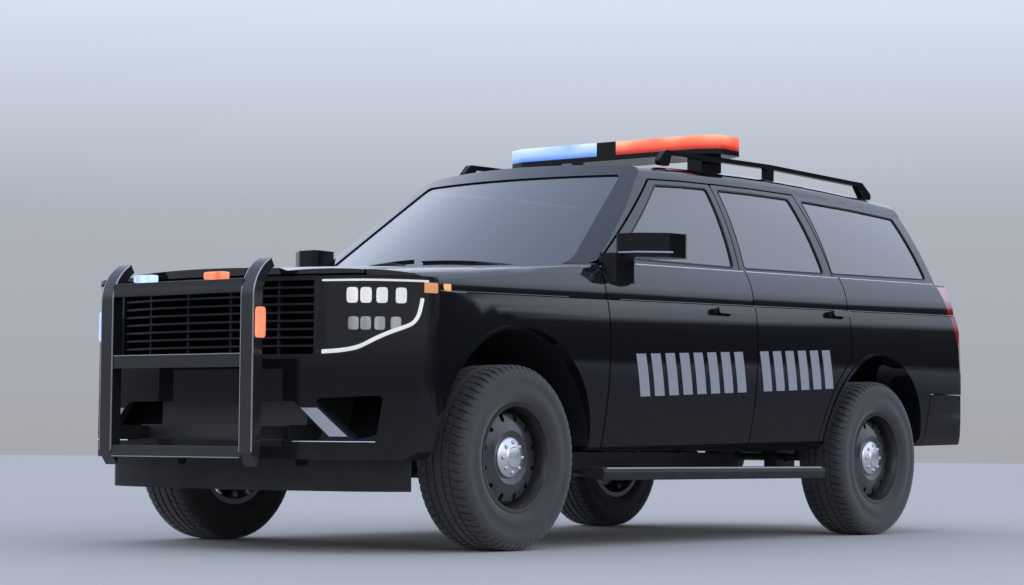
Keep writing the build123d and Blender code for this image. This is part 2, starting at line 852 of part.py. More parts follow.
VALANCE_Z = 262
INTAKE = [(-676, 474), (-500, 640), (500, 640), (676, 474)]
FOG = [(776, 478), (584, 650), (866, 664), (848, 500)]
with BuildPart() as front_bumper:
    add(
        carve(
            join(
                carve(
                    meet(TUB, block(-1100, 1100, -1000, BUMPER_SEAM - SEAT_GAP, 395, 1012 - SEAT_GAP)),
                    tub_form(34, 34),
                    block(
                        -GRILLE_HALF_WIDTH - SEAT_GAP, GRILLE_HALF_WIDTH + SEAT_GAP,
                        -1000, -500, BUMPER_Z, 1200,
                    ),
                    both_sides(lamp_zone(SEAT_GAP)),
                ),
                meet(
                    carve(plan_prism(66), plan_prism(96)),
                    block(-880, 880, -1000, -560, VALANCE_Z, 425),
                ),
                meet(
                    carve(plan_prism(20), plan_prism(96)),
                    block(-880, 880, -1000, -560, 400, 425),
                ),
            ),
            front_outline(INTAKE, 30, -1200, -500),
            both_sides(front_outline(FOG, 14, -1200, -560)),
            both_sides(
                cross_drum(FRONT_ARCH_STATION, FRONT_ARCH_Z, FRONT_ARCH_RADIUS + 1, 500, 1100)
            ),
        )
    )

# Grille: an upright surround with slats that follow the curve of the nose
GRILLE_RIM = 20
SLATS = 8
SLAT_HEIGHT = 9
SLAT_PITCH = (HOOD_LIP_Z - GRILLE_FOOT_Z - 2 * GRILLE_RIM) / (SLATS + 1)
GRILLE_BACK = carve(plan_prism(14), plan_prism(60))
SLAT_BAND = carve(plan_prism(24), plan_prism(52))
with BuildPart() as grille:
    add(
        join(
            carve(
                meet(
                    GRILLE_BACK,
                    block(-GRILLE_HALF_WIDTH, GRILLE_HALF_WIDTH, -1000, -600, GRILLE_FOOT_Z, HOOD_LIP_Z - 6),
                ),
                block(
                    GRILLE_RIM - GRILLE_HALF_WIDTH, GRILLE_HALF_WIDTH - GRILLE_RIM, -1000, -600,
                    GRILLE_FOOT_Z + GRILLE_RIM, HOOD_LIP_Z - 6 - GRILLE_RIM,
                ),
            ),
            *[
                meet(
                    SLAT_BAND,
                    block(
                        -GRILLE_HALF_WIDTH + 4, GRILLE_HALF_WIDTH - 4, -1000, -600,
                        GRILLE_FOOT_Z + GRILLE_RIM + SLAT_PITCH * (i + 1) - SLAT_HEIGHT / 2,
                        GRILLE_FOOT_Z + GRILLE_RIM + SLAT_PITCH * (i + 1) + SLAT_HEIGHT / 2,
                    ),
                )
                for i in range(SLATS)
            ],
            *[
                meet(
                    carve(plan_prism(40), plan_prism(58)),
                    block(x - 6, x + 6, -1000, -600, GRILLE_FOOT_Z + 4, HOOD_LIP_Z - 10),
                )
                for x in (-390, -130, 130, 390)
            ],
        )
    )

LENS = 5
LAMP_DEPTH = 120
with BuildPart() as headlamp_lenses:
    add(both_sides(carve(meet(lamp_zone(0), TUB), tub_form(LENS, LENS))))
with BuildPart() as headlamp_bowls:
    add(
        both_sides(
            carve(meet(lamp_zone(0), tub_form(40, 40)), tub_form(LAMP_DEPTH, LAMP_DEPTH))
        )
    )

# Tail lamps and rear bumper
with BuildPart() as tail_lamps:
    add(
        both_sides(
            meet(carve(CABIN, tub_form(TAIL_LAMP_DEPTH, TAIL_LAMP_DEPTH)), tail_lamp_zone(0))
        )
    )

TAIL_END = REAR_STATION + REAR_OVERHANG
BUMPER_WALL = 20
BUMPER_PLAN = [
    (-1012, 3500), (-1012, 3860), (-978, 4075), (-884, 4212), (-640, TAIL_END - 26),
    (-240, TAIL_END), (240, TAIL_END),
    (640, TAIL_END - 26), (884, 4212), (978, 4075), (1012, 3860), (1012, 3500),
]
with BuildPart() as rear_bumper:
    add(
        carve(
            meet(
                carve(
                    meet(lower_prism(-2), plan_outline(BUMPER_PLAN, 40, 400, 900)),
                    meet(lower_prism(40), plan_prism(BUMPER_WALL)),
                ),
                block(-1100, 1100, BUMPER_LINE + 4, 4500, 440, BUMPER_TOP_Z),
            ),
            both_sides(
                cross_drum(REAR_ARCH_STATION, REAR_ARCH_Z, REAR_ARCH_RADIUS + 2, 500, 1100)
            ),
        )
    )

# Chassis: a ladder frame that kicks up over the rear axle, arms and rear uprights
RAIL_INNER_X = 370
RAIL_OUTER_X = 450
# The rail's top and foot at each knee, from the front horn to the tail
RAIL_KNEES = [
    ((-800, 540), (-800, 430)),
    ((-500, 540), (-520, 430)),
    ((-350, 430), (-380, 312)),
    ((2430, 430), (2472, 312)),
    ((2592, 640), (2640, 530)),
    ((3660, 640), (3630, 530)),
    ((3860, 520), (3830, 410)),
    ((4215, 520), (4215, 410)),
]
RAIL_TOP_Z = 430
KICK_FOOT_Z = 530
BEAM_X = RAIL_INNER_X - SEAT_GAP
CROSSMEMBERS = [
    (RAIL_OUTER_X, -855, -800 - SEAT_GAP, 430, 540),
    (BEAM_X, -50, 130, 312, 372),
    (BEAM_X, 1060, 1150, 296, 321.7),
    (BEAM_X, 2700, 2780, 540, 640),
    (BEAM_X, 3072, 3232, 530, 580),
    (BEAM_X, 4135, 4215, 420, 510),
]
PUCKS = [(900, 430, 440), (1700, 430, 440), (2900, 640, 650), (3500, 640, 650)]
WHEEL_X = TRACK / 2
KINGPIN_X = 772
BALL_PIN = 14
ARM_FOOT_HALF = 92
LOWER_ARM_Z = (312, 338)
UPPER_ARM_Z = (562, 586)
SPINDLE = 30
RECEIVER = 63.5
RECEIVER_BORE = 51.5
RECEIVER_Z = 430
RECEIVER_END = 4310
RECEIVER_LENGTH = 250
PIN_FROM_MOUTH = 28
PIN_BORE = 8.2


def arm(station, z_from, z_to, x_root):
    """A tapered suspension arm with a round eye at the ball joint."""
    axle = DATUM_Y + station
    with BuildPart() as plate:
        with BuildSketch(Plane.XY.offset(z_from)):
            with BuildLine():
                Polyline(
                    (x_root, axle - ARM_FOOT_HALF),
                    (KINGPIN_X, axle - 30),
                    (KINGPIN_X, axle + 30),
                    (x_root, axle + ARM_FOOT_HALF),
                    close=True,
                )
            make_face()
            with Locations((KINGPIN_X, axle)):
                Circle(33)
            with BuildLine():
                Polyline(
                    (x_root + 46, axle - ARM_FOOT_HALF * 0.5),
                    (KINGPIN_X - 90, axle - 16),
                    (KINGPIN_X - 90, axle + 16),
                    (x_root + 46, axle + ARM_FOOT_HALF * 0.5),
                    close=True,
                )
            make_face(mode=Mode.SUBTRACT)
            with Locations((KINGPIN_X, axle)):
                Circle(BALL_PIN + SEAT_GAP, mode=Mode.SUBTRACT)
        extrude(amount=z_to - z_from)
    return plate.part


def upright(station, pins):
    """A wheel upright: post, hub boss and spindle, with ball pins where it steers."""
    axle = DATUM_Y + station
    low = LOWER_ARM_Z[1] + 3 if pins else LOWER_ARM_Z[0]
    high = UPPER_ARM_Z[0] - 3 if pins else UPPER_ARM_Z[1]
    with BuildPart() as post:
        with Locations((KINGPIN_X, axle, (low + high) / 2)):
            Box(46, 62, high - low)
        with BuildSketch(Plane.YZ.offset(KINGPIN_X - 23)):
            with Locations(at(station, TYRE_RADIUS)):
                Circle(62)
        extrude(amount=64)
        with BuildSketch(Plane.YZ.offset(KINGPIN_X)):
            with Locations(at(station, TYRE_RADIUS)):
                Circle(SPINDLE)
        extrude(amount=104)
        with Locations((KINGPIN_X + 20, axle + 120, TYRE_RADIUS + 66)):
            Box(44, 76, 120)
        with Locations((KINGPIN_X + 8, axle + 66, TYRE_RADIUS + 30)):
            Box(30, 80, 44)
        if pins:
            with Locations((KINGPIN_X, axle, (LOWER_ARM_Z[0] + UPPER_ARM_Z[1]) / 2)):
                Cylinder(BALL_PIN, UPPER_ARM_Z[1] - LOWER_ARM_Z[0])
    return post.part


def rail_length(start, end):
    """A straight length of rail between two knees, with half a seat gap left at each weld."""
    (top_start, foot_start), (top_end, foot_end) = start, end
    weld = SEAT_GAP / 2
    with BuildPart() as length:
        with BuildSketch(Plane.YZ.offset(RAIL_INNER_X)):
            with BuildLine():
                Polyline(
                    at(top_start[0] + weld, top_start[1]),
                    at(top_end[0] - weld, top_end[1]),
                    at(foot_end[0] - weld, foot_end[1]),
                    at(foot_start[0] + weld, foot_start[1]),
                    close=True,
                )
            make_face()
        extrude(amount=RAIL_OUTER_X - RAIL_INNER_X)
    return length.part


def arm_bracket(x_from, x_to, station, z_from, z_to):
    """A block as long as an arm's foot, which carries it on the rail."""
    return block(x_from, x_to, station - ARM_FOOT_HALF, station + ARM_FOOT_HALF, z_from, z_to)


with BuildPart() as chassis_frame:
    for start, end in zip(RAIL_KNEES, RAIL_KNEES[1:]):
        section = rail_length(start, end)
        add(section)
        mirror(section, about=Plane.YZ)
    for half_width, s_from, s_to, z_from, z_to in CROSSMEMBERS:
        add(block(-half_width, half_width, s_from, s_to, z_from, z_to))
    for station, z_from, z_to in PUCKS:
        with Locations(
            *[(x, DATUM_Y + station, (z_from + z_to) / 2 - 2) for x in (-410, 410)]
        ):
            Cylinder(38, z_to - z_from + 4)
    # Tow hitch receiver under the rear crossmember
    with Locations((0, DATUM_Y + RECEIVER_END - RECEIVER_LENGTH / 2, RECEIVER_Z)):
        Box(RECEIVER, RECEIVER_LENGTH, RECEIVER)
        Box(RECEIVER_BORE, RECEIVER_LENGTH, RECEIVER_BORE, mode=Mode.SUBTRACT)
    with Locations((0, DATUM_Y + RECEIVER_END - PIN_FROM_MOUTH, RECEIVER_Z)):
        Cylinder(PIN_BORE, 2 * RECEIVER, rotation=(0, 90, 0), mode=Mode.SUBTRACT)

# Suspension: front arms with the tower of the upper one, and each rear corner in one piece
FRONT_UPPER = join(
    arm_bracket(
        RAIL_INNER_X, RAIL_OUTER_X, FRONT_STATION, RAIL_TOP_Z + SEAT_GAP, UPPER_ARM_Z[1]
    ),
    arm(FRONT_STATION, *UPPER_ARM_Z, RAIL_OUTER_X - 6),
)
FRONT_LOWER = arm(FRONT_STATION, *LOWER_ARM_Z, RAIL_OUTER_X + SEAT_GAP)
REAR_CORNER = join(
    arm(REAR_STATION, *LOWER_ARM_Z, 380),
    arm(REAR_STATION, *UPPER_ARM_Z, RAIL_OUTER_X + SEAT_GAP),
    upright(REAR_STATION, False),
    carve(
        arm_bracket(320, 400, REAR_STATION, LOWER_ARM_Z[0], KICK_FOOT_Z - SEAT_GAP),
        cross_drum(REAR_STATION, TYRE_RADIUS, 26, 300, 420),
    ),
)
with BuildPart() as suspension:
    for corner in (FRONT_UPPER, FRONT_LOWER, REAR_CORNER):
        add(corner)
        mirror(corner, about=Plane.YZ)

LEFT_KNUCKLE = upright(FRONT_STATION, True)
with BuildPart() as knuckle_left:
    add(LEFT_KNUCKLE)
with BuildPart() as knuckle_right:
    mirror(LEFT_KNUCKLE, about=Plane.YZ)

# Wheels: tyre, and a steel wheel with its vents, cap, hub and brake disc
TREAD_HALF = 98
RIM_HALF = 116
BARREL = 13
DISC_RADIUS = 172
CAP_RADIUS = 88
VENTS = 12
VENT_RADIUS = 17
VENT_CIRCLE = 168


def tyre_at(x_centre, station):
    """A tyre: flat tread, round shoulders, bulged sidewalls and beads on the rim."""
    half = TYRE_WIDTH / 2
    with BuildPart() as rubber:
        with BuildSketch(Plane.XY):
            with BuildLine():
                Polyline(
                    (-TREAD_HALF, TYRE_RADIUS),
                    (TREAD_HALF, TYRE_RADIUS),
                    (half - 9, TYRE_RADIUS - 20),
                    (half, TYRE_RADIUS - 88),
                    (RIM_HALF - 11, RIM_RADIUS + 1),
                    (11 - RIM_HALF, RIM_RADIUS + 1),
                    (-half, TYRE_RADIUS - 88),
                    (9 - half, TYRE_RADIUS - 20),
                    close=True,
                )
            make_face()
        revolve(axis=Axis.X)
    return rubber.part.moved(Location((x_centre, DATUM_Y + station, TYRE_RADIUS)))


def wheel_at(x_centre, station):
    """A steel wheel turned about its axle, with hub bore, brake disc and centre cap."""
    bore = SPINDLE + SEAT_GAP
    with BuildPart() as wheel:
        with BuildSketch(Plane.XY):
            with BuildLine():
                Polyline(
                    (-RIM_HALF, RIM_RADIUS + 12),
                    (6 - RIM_HALF, RIM_RADIUS + 12),
                    (6 - RIM_HALF, RIM_RADIUS),
                    (RIM_HALF - 6, RIM_RADIUS),
                    (RIM_HALF - 6, RIM_RADIUS + 12),
                    (RIM_HALF, RIM_RADIUS + 12),
                    (RIM_HALF, RIM_RADIUS - 4),
                    (RIM_HALF - 34, RIM_RADIUS - BARREL),
                    (-RIM_HALF, RIM_RADIUS - BARREL),
                    close=True,
                )
            make_face()
            with BuildLine():
                Polyline(
                    (24, RIM_RADIUS - BARREL + 3),
                    (62, 192),
                    (76, 150),
                    (84, 118),
                    (74, CAP_RADIUS),
                    (90, 70),
                    (97, 36),
                    (97, 0),
                    (40, 0),
                    (40, bore),
                    (-18, bore),
                    (-18, 72),
                    (52, 74),
                    (64, 150),
                    (50, 188),
                    (10, RIM_RADIUS - BARREL + 3),
                    close=True,
                )
            make_face()
            with Locations((-24, (DISC_RADIUS + 64) / 2)):
                Rectangle(22, DISC_RADIUS - 64)
        revolve(axis=Axis.X)
        with BuildSketch(Plane.YZ.offset(30)):
            with PolarLocations(VENT_CIRCLE + 14, VENTS, start_angle=180 / VENTS):
                SlotOverall(VENT_RADIUS * 2.5, VENT_RADIUS * 1.4, rotation=0)
        extrude(amount=60, mode=Mode.SUBTRACT)
    return wheel.part.moved(Location((x_centre, DATUM_Y + station, TYRE_RADIUS)))


WHEELS = [
    ("front_left", 1, FRONT_STATION),
    ("front_right", -1, FRONT_STATION),
    ("rear_left", 1, REAR_STATION),
    ("rear_right", -1, REAR_STATION),
]

# Engine block, gearbox, propeller shaft, differential, radiator
SHAFT_Z = 379
with BuildPart() as powertrain:
    add(block(-250, 250, -420, 330, 560, 1040))
    add(block(-200, 200, -380, 300, 400, 565))
    add(block(SEAT_GAP - RAIL_INNER_X, RAIL_INNER_X - SEAT_GAP, 140, 200, 380, 428))
    with BuildSketch(Plane.XZ.offset(-(DATUM_Y + 280))):
        with Locations((0, SHAFT_Z)):
            Circle(57)
    extrude(amount=-880)
    with BuildSketch(Plane.XZ.offset(-(DATUM_Y + 1100))):
        with Locations((0, SHAFT_Z)):
            Circle(34)
    extrude(amount=-1990)
    with Locations((0, REAR_AXLE_Y, 400)):
        Sphere(112)
    with BuildSketch(Plane.YZ.offset(-KINGPIN_X + 23 + SEAT_GAP)):
        with Locations(at(REAR_STATION, TYRE_RADIUS)):
            Circle(19)
    extrude(amount=2 * (KINGPIN_X - 23 - SEAT_GAP))
    add(block(-440, 440, -735, -680, 540 + SEAT_GAP, 1090))

with BuildPart() as exhaust:
    with BuildSketch(Plane.XZ.offset(-(DATUM_Y + 420))):
        with Locations((-230, 356)):
            Circle(32)
    extrude(amount=-2100)
    with BuildSketch(Plane.XZ.offset(-(DATUM_Y + 2450))):
        with Locations((-190, 372)):
            SlotOverall(300, 150)
    extrude(amount=-540)
    add(block(SEAT_GAP - RAIL_INNER_X, -280, 2490, 2510, 432, 462))

# Running boards on brackets from the frame
BOARD_Z = 362
with BuildPart() as running_boards:
    with BuildSketch(Plane.XZ.offset(-(DATUM_Y + 640))):
        with BuildLine():
            FilletPolyline(
                (862, BOARD_Z), (998, BOARD_Z), (1008, BOARD_Z - 22), (1000, BOARD_Z - 58),
                (940, BOARD_Z - 48), (862, BOARD_Z - 30), radius=7, close=True,
            )
        make_face()
        mirror(about=Plane.YZ)
    extrude(amount=-1930)
    for station in (820, 1620, 2280):
        for side in (-1, 1):
            with Locations((side * 662, DATUM_Y + station, BOARD_Z - 20)):
                Box(2 * (662 - RAIL_OUTER_X) - 2 * SEAT_GAP, 50, 14)

# Roof rails, and the light bar on its feet, both a hair above the roof skin
ROOF_SKIN = cabin_form(-SEAT_GAP, -SEAT_GAP, 0)
RAIL_X = 628
with BuildPart() as roof_rails:
    add(
        both_sides(
            carve(
                side_outline(
                    [(1560, 1860), (1640, 1938), (2600, 1951), (3560, 1936), (3700, 1846)],
                    20, RAIL_X - 16, RAIL_X + 16,
                ),
                side_outline(
                    [(1660, 1840), (1690, 1914), (2570, 1927), (2570, 1800)], 8,
                    RAIL_X - 50, RAIL_X + 50,
                ),
                side_outline(
                    [(2640, 1800), (2640, 1927), (3500, 1914), (3570, 1840)], 8,
                    RAIL_X - 50, RAIL_X + 50,
                ),
                ROOF_SKIN,
            )
        )
    )

BAR_HALF = 684
BAR_STATION = 2166
BAR_DEPTH = 300
BAR_Z = 1958
BAR_BASE = 26
BAR_LENS = 72
BAR_PLAN = [
    (-BAR_HALF, -92), (-BAR_HALF + 120, -150), (BAR_HALF - 120, -150), (BAR_HALF, -92),
    (BAR_HALF, 92), (BAR_HALF - 120, 150), (120 - BAR_HALF, 150), (-BAR_HALF, 92),
]


def bar_slice(x_from, x_to, z_from, z_to):
    """A length of the light bar between two widths and heights."""
    return meet(
        plan_outline([(x, BAR_STATION + s) for x, s in BAR_PLAN], 40, z_from, z_to),
        block(x_from, x_to, BAR_STATION - 300, BAR_STATION + 300, z_from - 1, z_to + 1),
    )


with BuildPart() as lightbar_base:
    add(
        carve(
            join(
                bar_slice(-BAR_HALF, BAR_HALF, BAR_Z, BAR_Z + BAR_BASE),
                bar_slice(-62, 62, BAR_Z, BAR_Z + BAR_BASE + BAR_LENS),
                *[
                    block(x - 45, x + 45, BAR_STATION - 90, BAR_STATION + 90, 1800, BAR_Z + 2)
                    for x in (-520, 520)
                ],
            ),
            ROOF_SKIN,
        )
    )
with BuildPart() as lens_blue:
    add(bar_slice(-BAR_HALF + 3, -62 - SEAT_GAP, BAR_Z + BAR_BASE + SEAT_GAP, BAR_Z + BAR_BASE + BAR_LENS))
with BuildPart() as lens_red:
    add(bar_slice(62 + SEAT_GAP, BAR_HALF - 3, BAR_Z + BAR_BASE + SEAT_GAP, BAR_Z + BAR_BASE + BAR_LENS))

# Push bumper: two uprights with curved heads, three bars and brackets to the frame
PUSH_FRONT = FRONT_STATION - FRONT_OVERHANG - PUSH_BUMPER_REACH
PUSH_X = (388, 462)
with BuildPart() as push_bumper:
    with BuildSketch(Plane.YZ.offset(PUSH_X[0])):
        with BuildLine():
            low = Line(at(PUSH_FRONT, 420), at(PUSH_FRONT, 1080))
            head = RadiusArc(low @ 1, at(PUSH_FRONT + 105, 1240), 190)
            tip = Line(head @ 1, at(PUSH_FRONT + 125, 1205))
            under = RadiusArc(tip @ 1, at(PUSH_FRONT + 58, 1080), -150)
            back = Line(under @ 1, at(PUSH_FRONT + 58, 470))
            heel = Line(back @ 1, at(PUSH_FRONT + 42, 362))
            Line(heel @ 1, low @ 0)
        make_face()
    extrude(amount=PUSH_X[1] - PUSH_X[0])
    mirror(about=Plane.YZ)
    for z_from, z_to in ((1092, 1150), (780, 838), (396, 448)):
        add(block(-PUSH_X[0] - 5, PUSH_X[0] + 5, PUSH_FRONT + 6, PUSH_FRONT + 52, z_from, z_to))
    for side in (-1, 1):
        add(
            block(
                side * 425 - 22, side * 425 + 22, PUSH_FRONT + 50, -855 - SEAT_GAP, 480, 535,
            )
        )

PUSH_LAMP = (120, 46, 34)
PUSH_LAMP_X = 215
PUSH_LAMP_Z = 1150 + PUSH_LAMP[2] / 2 + SEAT_GAP
SIDE_LAMP = (26, 44, 130)
SIDE_LAMP_X = PUSH_X[1] + SIDE_LAMP[0] / 2 + SEAT_GAP


def push_lamps(side):
    """The lamp on the top bar and the upright one on the outside, on one side of the car."""
    lamp_y = DATUM_Y + PUSH_FRONT + 30
    with BuildPart() as lamps:
        with Locations((side * PUSH_LAMP_X, lamp_y, PUSH_LAMP_Z)):
            Box(*PUSH_LAMP)
        with Locations((side * SIDE_LAMP_X, lamp_y, 965)):
            Box(*SIDE_LAMP)
    return lamps.part


with BuildPart() as push_lamps_blue:
    add(push_lamps(-1))
with BuildPart() as push_lamps_red:
    add(push_lamps(1))

# Cabin: seats as plain cushions on plinths, dashboard with its steering wheel
SEAT_X = 400
with BuildPart() as front_seats:
    for side in (-1, 1):
        add(block(side * SEAT_X - 200, side * SEAT_X + 200, 1180, 1600, FLOOR_Z, 640))
        add(block(side * SEAT_X - 250, side * SEAT_X + 250, 1130, 1660, 630, 800))
        with BuildSketch(Plane.YZ.offset(side * SEAT_X - 240)):
            with BuildLine():
                FilletPolyline(
                    at(1580, 790), at(1740, 790), at(1880, 1420), at(1770, 1440),
                    radius=40, close=True,
                )
            make_face()
        extrude(amount=480)
        with BuildSketch(Plane.YZ.offset(side * SEAT_X - 130)):
            with BuildLine():
                FilletPolyline(
                    at(1790, 1425), at(1868, 1415), at(1905, 1600), at(1820, 1610),
                    radius=20, close=True,
                )
            make_face()
        extrude(amount=260)

with BuildPart() as rear_seat:
    add(block(-560, 560, 2120, 2390, FLOOR_Z, 700))
    add(block(-620, 620, 2080, 2560, 695, 860))
    with BuildSketch(Plane.YZ.offset(-620)):
        with BuildLine():
            FilletPolyline(
                at(2470, 850), at(2620, 850), at(2760, 1420), at(2650, 1440), radius=40, close=True
            )
        make_face()
    extrude(amount=1240)

with BuildPart() as dashboard:
    with BuildSketch(Plane.YZ.offset(-776)):
        with BuildLine():
            FilletPolyline(
                at(FIREWALL_STATION + FIREWALL_THICK + SEAT_GAP, 860),
                at(FIREWALL_STATION + FIREWALL_THICK + SEAT_GAP, 1216),
                at(980, 1236), at(1040, 1180), at(960, 860), radius=24, close=True,
            )
        make_face()
    extrude(amount=1552)
    wheel_plane = Plane(
        origin=(SEAT_X, DATUM_Y + 1130, 1120), z_dir=(0, cos(radians(25)), sin(radians(25)))
    )
    with BuildSketch(wheel_plane):
        Circle(190)
        Circle(160, mode=Mode.SUBTRACT)
        Rectangle(340, 36)
        Circle(62)
    extrude(amount=24)
    with BuildSketch(wheel_plane):
        Circle(28)
    extrude(amount=-150)

# Door mirrors on the front doors' shoulders
MIRROR_PLAN = [(938, 796), (1060, 806), (1176, 900), (1196, 1010), (1172, 1062), (956, 958)]
MIRROR_FOOT_PLAN = [(900, 720), (985, 742), (1010, 860), (990, 900), (900, 880)]


def door_mirror():
    head = plan_outline(MIRROR_PLAN, 24, 1334, 1446)
    arm_block = plan_outline(MIRROR_FOOT_PLAN, 18, 1216, 1352)
    return carve(
        join(head, arm_block),
        tub_form(-SEAT_GAP, 0),
        cabin_form(-6, 0, -6),
    )


LEFT_MIRROR = door_mirror()
with BuildPart() as mirror_left:
    add(LEFT_MIRROR)
with BuildPart() as mirror_right:
    mirror(LEFT_MIRROR, about=Plane.YZ)

NODES = [
    (body_side_left, "body_side_left"),
    (body_side_right, "body_side_right"),
    (roof_panel, "roof_panel"),
    (cowl, "cowl"),
    (floor_pan, "floor_pan"),
    (door_front_left, "door_front_left"),
    (door_front_right, "door_front_right"),
    (door_rear_left, "door_rear_left"),
    (door_rear_right, "door_rear_right"),
    (glass_front_left, "glass_front_left"),
    (glass_front_right, "glass_front_right"),
    (glass_rear_left, "glass_rear_left"),
    (glass_rear_right, "glass_rear_right"),
    (quarter_glass, "quarter_glass"),
    (windscreen, "windscreen"),
    (liftgate, "liftgate"),
    (tail_glass, "tail_glass"),
    (hood, "hood"),
    (front_fenders, "front_fenders"),
    (wheel_liners, "wheel_liners"),
    (front_bumper, "front_bumper"),
    (grille, "grille"),
    (headlamp_lenses, "headlamp_lenses"),
    (headlamp_bowls, "headlamp_bowls"),
    (tail_lamps, "tail_lamps"),
    (rear_bumper, "rear_bumper"),
    (chassis_frame, "chassis_frame"),
    (suspension, "suspension"),
    (knuckle_left, "knuckle_left"),
    (knuckle_right, "knuckle_right"),
    (powertrain, "powertrain"),
    (exhaust, "exhaust"),
    (running_boards, "running_boards"),
    (roof_rails, "roof_rails"),
    (lightbar_base, "lightbar_base"),
    (lens_blue, "lens_blue"),
    (lens_red, "lens_red"),
    (push_bumper, "push_bumper"),
    (push_lamps_blue, "push_lamps_blue"),
    (push_lamps_red, "push_lamps_red"),
    (front_seats, "front_seats"),
    (rear_seat, "rear_seat"),
    (dashboard, "dashboard"),
    (mirror_left, "mirror_left"),
    (mirror_right, "mirror_right"),
]
os.makedirs("parts", exist_ok=True)
for piece, name in NODES:
    piece.part.label = name
    export_step(piece.part, f"parts/{name}.step")
LEFT_TYRE = tyre_at(WHEEL_X, 0)
LEFT_WHEEL = wheel_at(WHEEL_X, 0)
for corner, side, station in WHEELS:
    for kind, form in (("tyre", LEFT_TYRE), ("wheel", LEFT_WHEEL)):
        with BuildPart() as round_piece:
            turned = form if side > 0 else form.mirror(Plane.YZ)
            add(turned.moved(Location((0, station, 0))))
        round_piece.part.label = f"{kind}_{corner}"
        export_step(round_piece.part, f"parts/{kind}_{corner}.step")
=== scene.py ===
# %% [markdown]
# # A police utility vehicle
#
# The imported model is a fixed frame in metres: every panel, pane and wheel is already in its place
# and rides on its body. The rest of this file gives those panels their finishes and adds what
# sheet metal alone can't show: tread, lamp units, trims, seals, cushions, wipers and springs. New
# pieces are numpy surfaces, because a car's form is given by sections and paths, not by clicks.

# %% Load the frame
import bmesh
import bpy
import math
import numpy as np
from mathutils import Matrix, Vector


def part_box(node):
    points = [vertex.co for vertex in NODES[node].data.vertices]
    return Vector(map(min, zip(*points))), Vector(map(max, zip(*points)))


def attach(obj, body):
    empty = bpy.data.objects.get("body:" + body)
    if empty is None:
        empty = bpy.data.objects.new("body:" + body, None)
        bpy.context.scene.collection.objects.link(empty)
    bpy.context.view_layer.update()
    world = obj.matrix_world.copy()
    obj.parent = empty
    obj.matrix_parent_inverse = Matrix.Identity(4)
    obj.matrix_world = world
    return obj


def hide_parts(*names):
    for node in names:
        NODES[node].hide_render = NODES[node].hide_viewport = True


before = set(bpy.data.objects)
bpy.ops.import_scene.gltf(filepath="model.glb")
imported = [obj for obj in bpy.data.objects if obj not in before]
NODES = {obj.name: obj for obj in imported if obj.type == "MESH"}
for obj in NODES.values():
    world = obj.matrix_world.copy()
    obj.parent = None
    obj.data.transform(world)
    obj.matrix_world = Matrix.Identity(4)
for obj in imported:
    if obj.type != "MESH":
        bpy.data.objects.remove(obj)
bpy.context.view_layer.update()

# %% [markdown]
# ## The car's own coordinates
#
# A car designer measures stations back from a datum line near the front axle, here 40 mm ahead of
# it. The frame's origin is under the middle of the car instead, so one number turns a station into
# the frame's y. The sections of the sides and of the nose are arcs through three points, and the
# same arcs are used here for every piece that has to lie on them.

# %% Stations and arcs
DATUM = -1.6085
FRONT_WHEEL = 0.040
WHEELBASE = 3.112
HALF_TRACK = 0.856
TYRE_RADIUS = 0.4075
BELT_Z = 1.325
RAKE = math.radians(1.2)


def circle_through(p, q, r):
    """Centre and radius of the circle through three points of a plane: the centre is where the
    perpendicular bisectors of pq and qr meet, a 2 by 2 linear system."""
    p, q, r = map(np.array, (p, q, r))
    centre = np.linalg.solve(2 * np.array([q - p, r - q]), [q @ q - p @ p, r @ r - q @ q])
    return centre, float(np.hypot(*(p - centre)))


FLANK = circle_through((0.950, 0.475), (0.990, 0.700), (1.004, 0.960))
UPPER = circle_through((1.004, 0.960), (1.000, 1.060), (0.986, 1.150))
SHOULDER = circle_through((0.977, 1.158), (0.964, 1.245), (0.928, 1.325))
FLANK_TOP = 0.960
GROOVE_MIDDLE = 1.154


def flank(station, z):
    """Half width of the lower body: the section is three arcs stacked in height, and the whole
    section leans back by the rake, so height is first turned back by that angle."""
    y = DATUM + np.asarray(station, float)
    z = np.asarray(z, float)
    level = BELT_Z + (z - BELT_Z) * math.cos(RAKE) - y * math.sin(RAKE)
    lower, upper, shoulder = (
        c[0] + np.sqrt(np.maximum(r * r - (level - c[1]) ** 2, 0)) for c, r in (FLANK, UPPER, SHOULDER)
    )
    return np.select([level < FLANK_TOP, level < GROOVE_MIDDLE], [lower, upper], shoulder)


NOSE_TIP = -0.930
NOSE_TURN = 0.760


def nose(x, inset=0.0):
    """Station of the nose at half width x: one shallow arc across the front, then a tighter one
    round the corner, both drawn in by the inset."""
    x = np.abs(np.asarray(x, float))
    tip = NOSE_TIP + inset
    turn = NOSE_TURN - inset / 2
    join = (turn, tip + 0.122)
    front = circle_through((0, tip), (0.420, tip + 0.030), join)
    corner = circle_through(join, (0.921 - inset * 0.8, tip + 0.270), (0.985 - inset, tip + 0.500))
    arcs = [c[1] - np.sqrt(np.maximum(r * r - (x - c[0]) ** 2, 0)) for c, r in (front, corner)]
    return np.where(x < turn, *arcs)


def placed(x, station, z):
    """Points of the frame from half width, station and height, each a number or an array."""
    return np.stack(np.broadcast_arrays(x, DATUM + np.asarray(station, float), z), axis=-1)


print("half width at the front door:", round(float(flank(1.3, 0.8)), 4))
print("station of the nose at half width 0.5:", round(float(nose(0.5)), 4))

# %% [markdown]
# ## Meshes from arrays
#
# Each new piece is one or more patches. A patch is a grid of points worked out by a formula, and
# its faces are the quads between neighbours. It could be modelled by hand in Edit Mode, but a
# formula keeps every piece exactly on the panel that carries it.

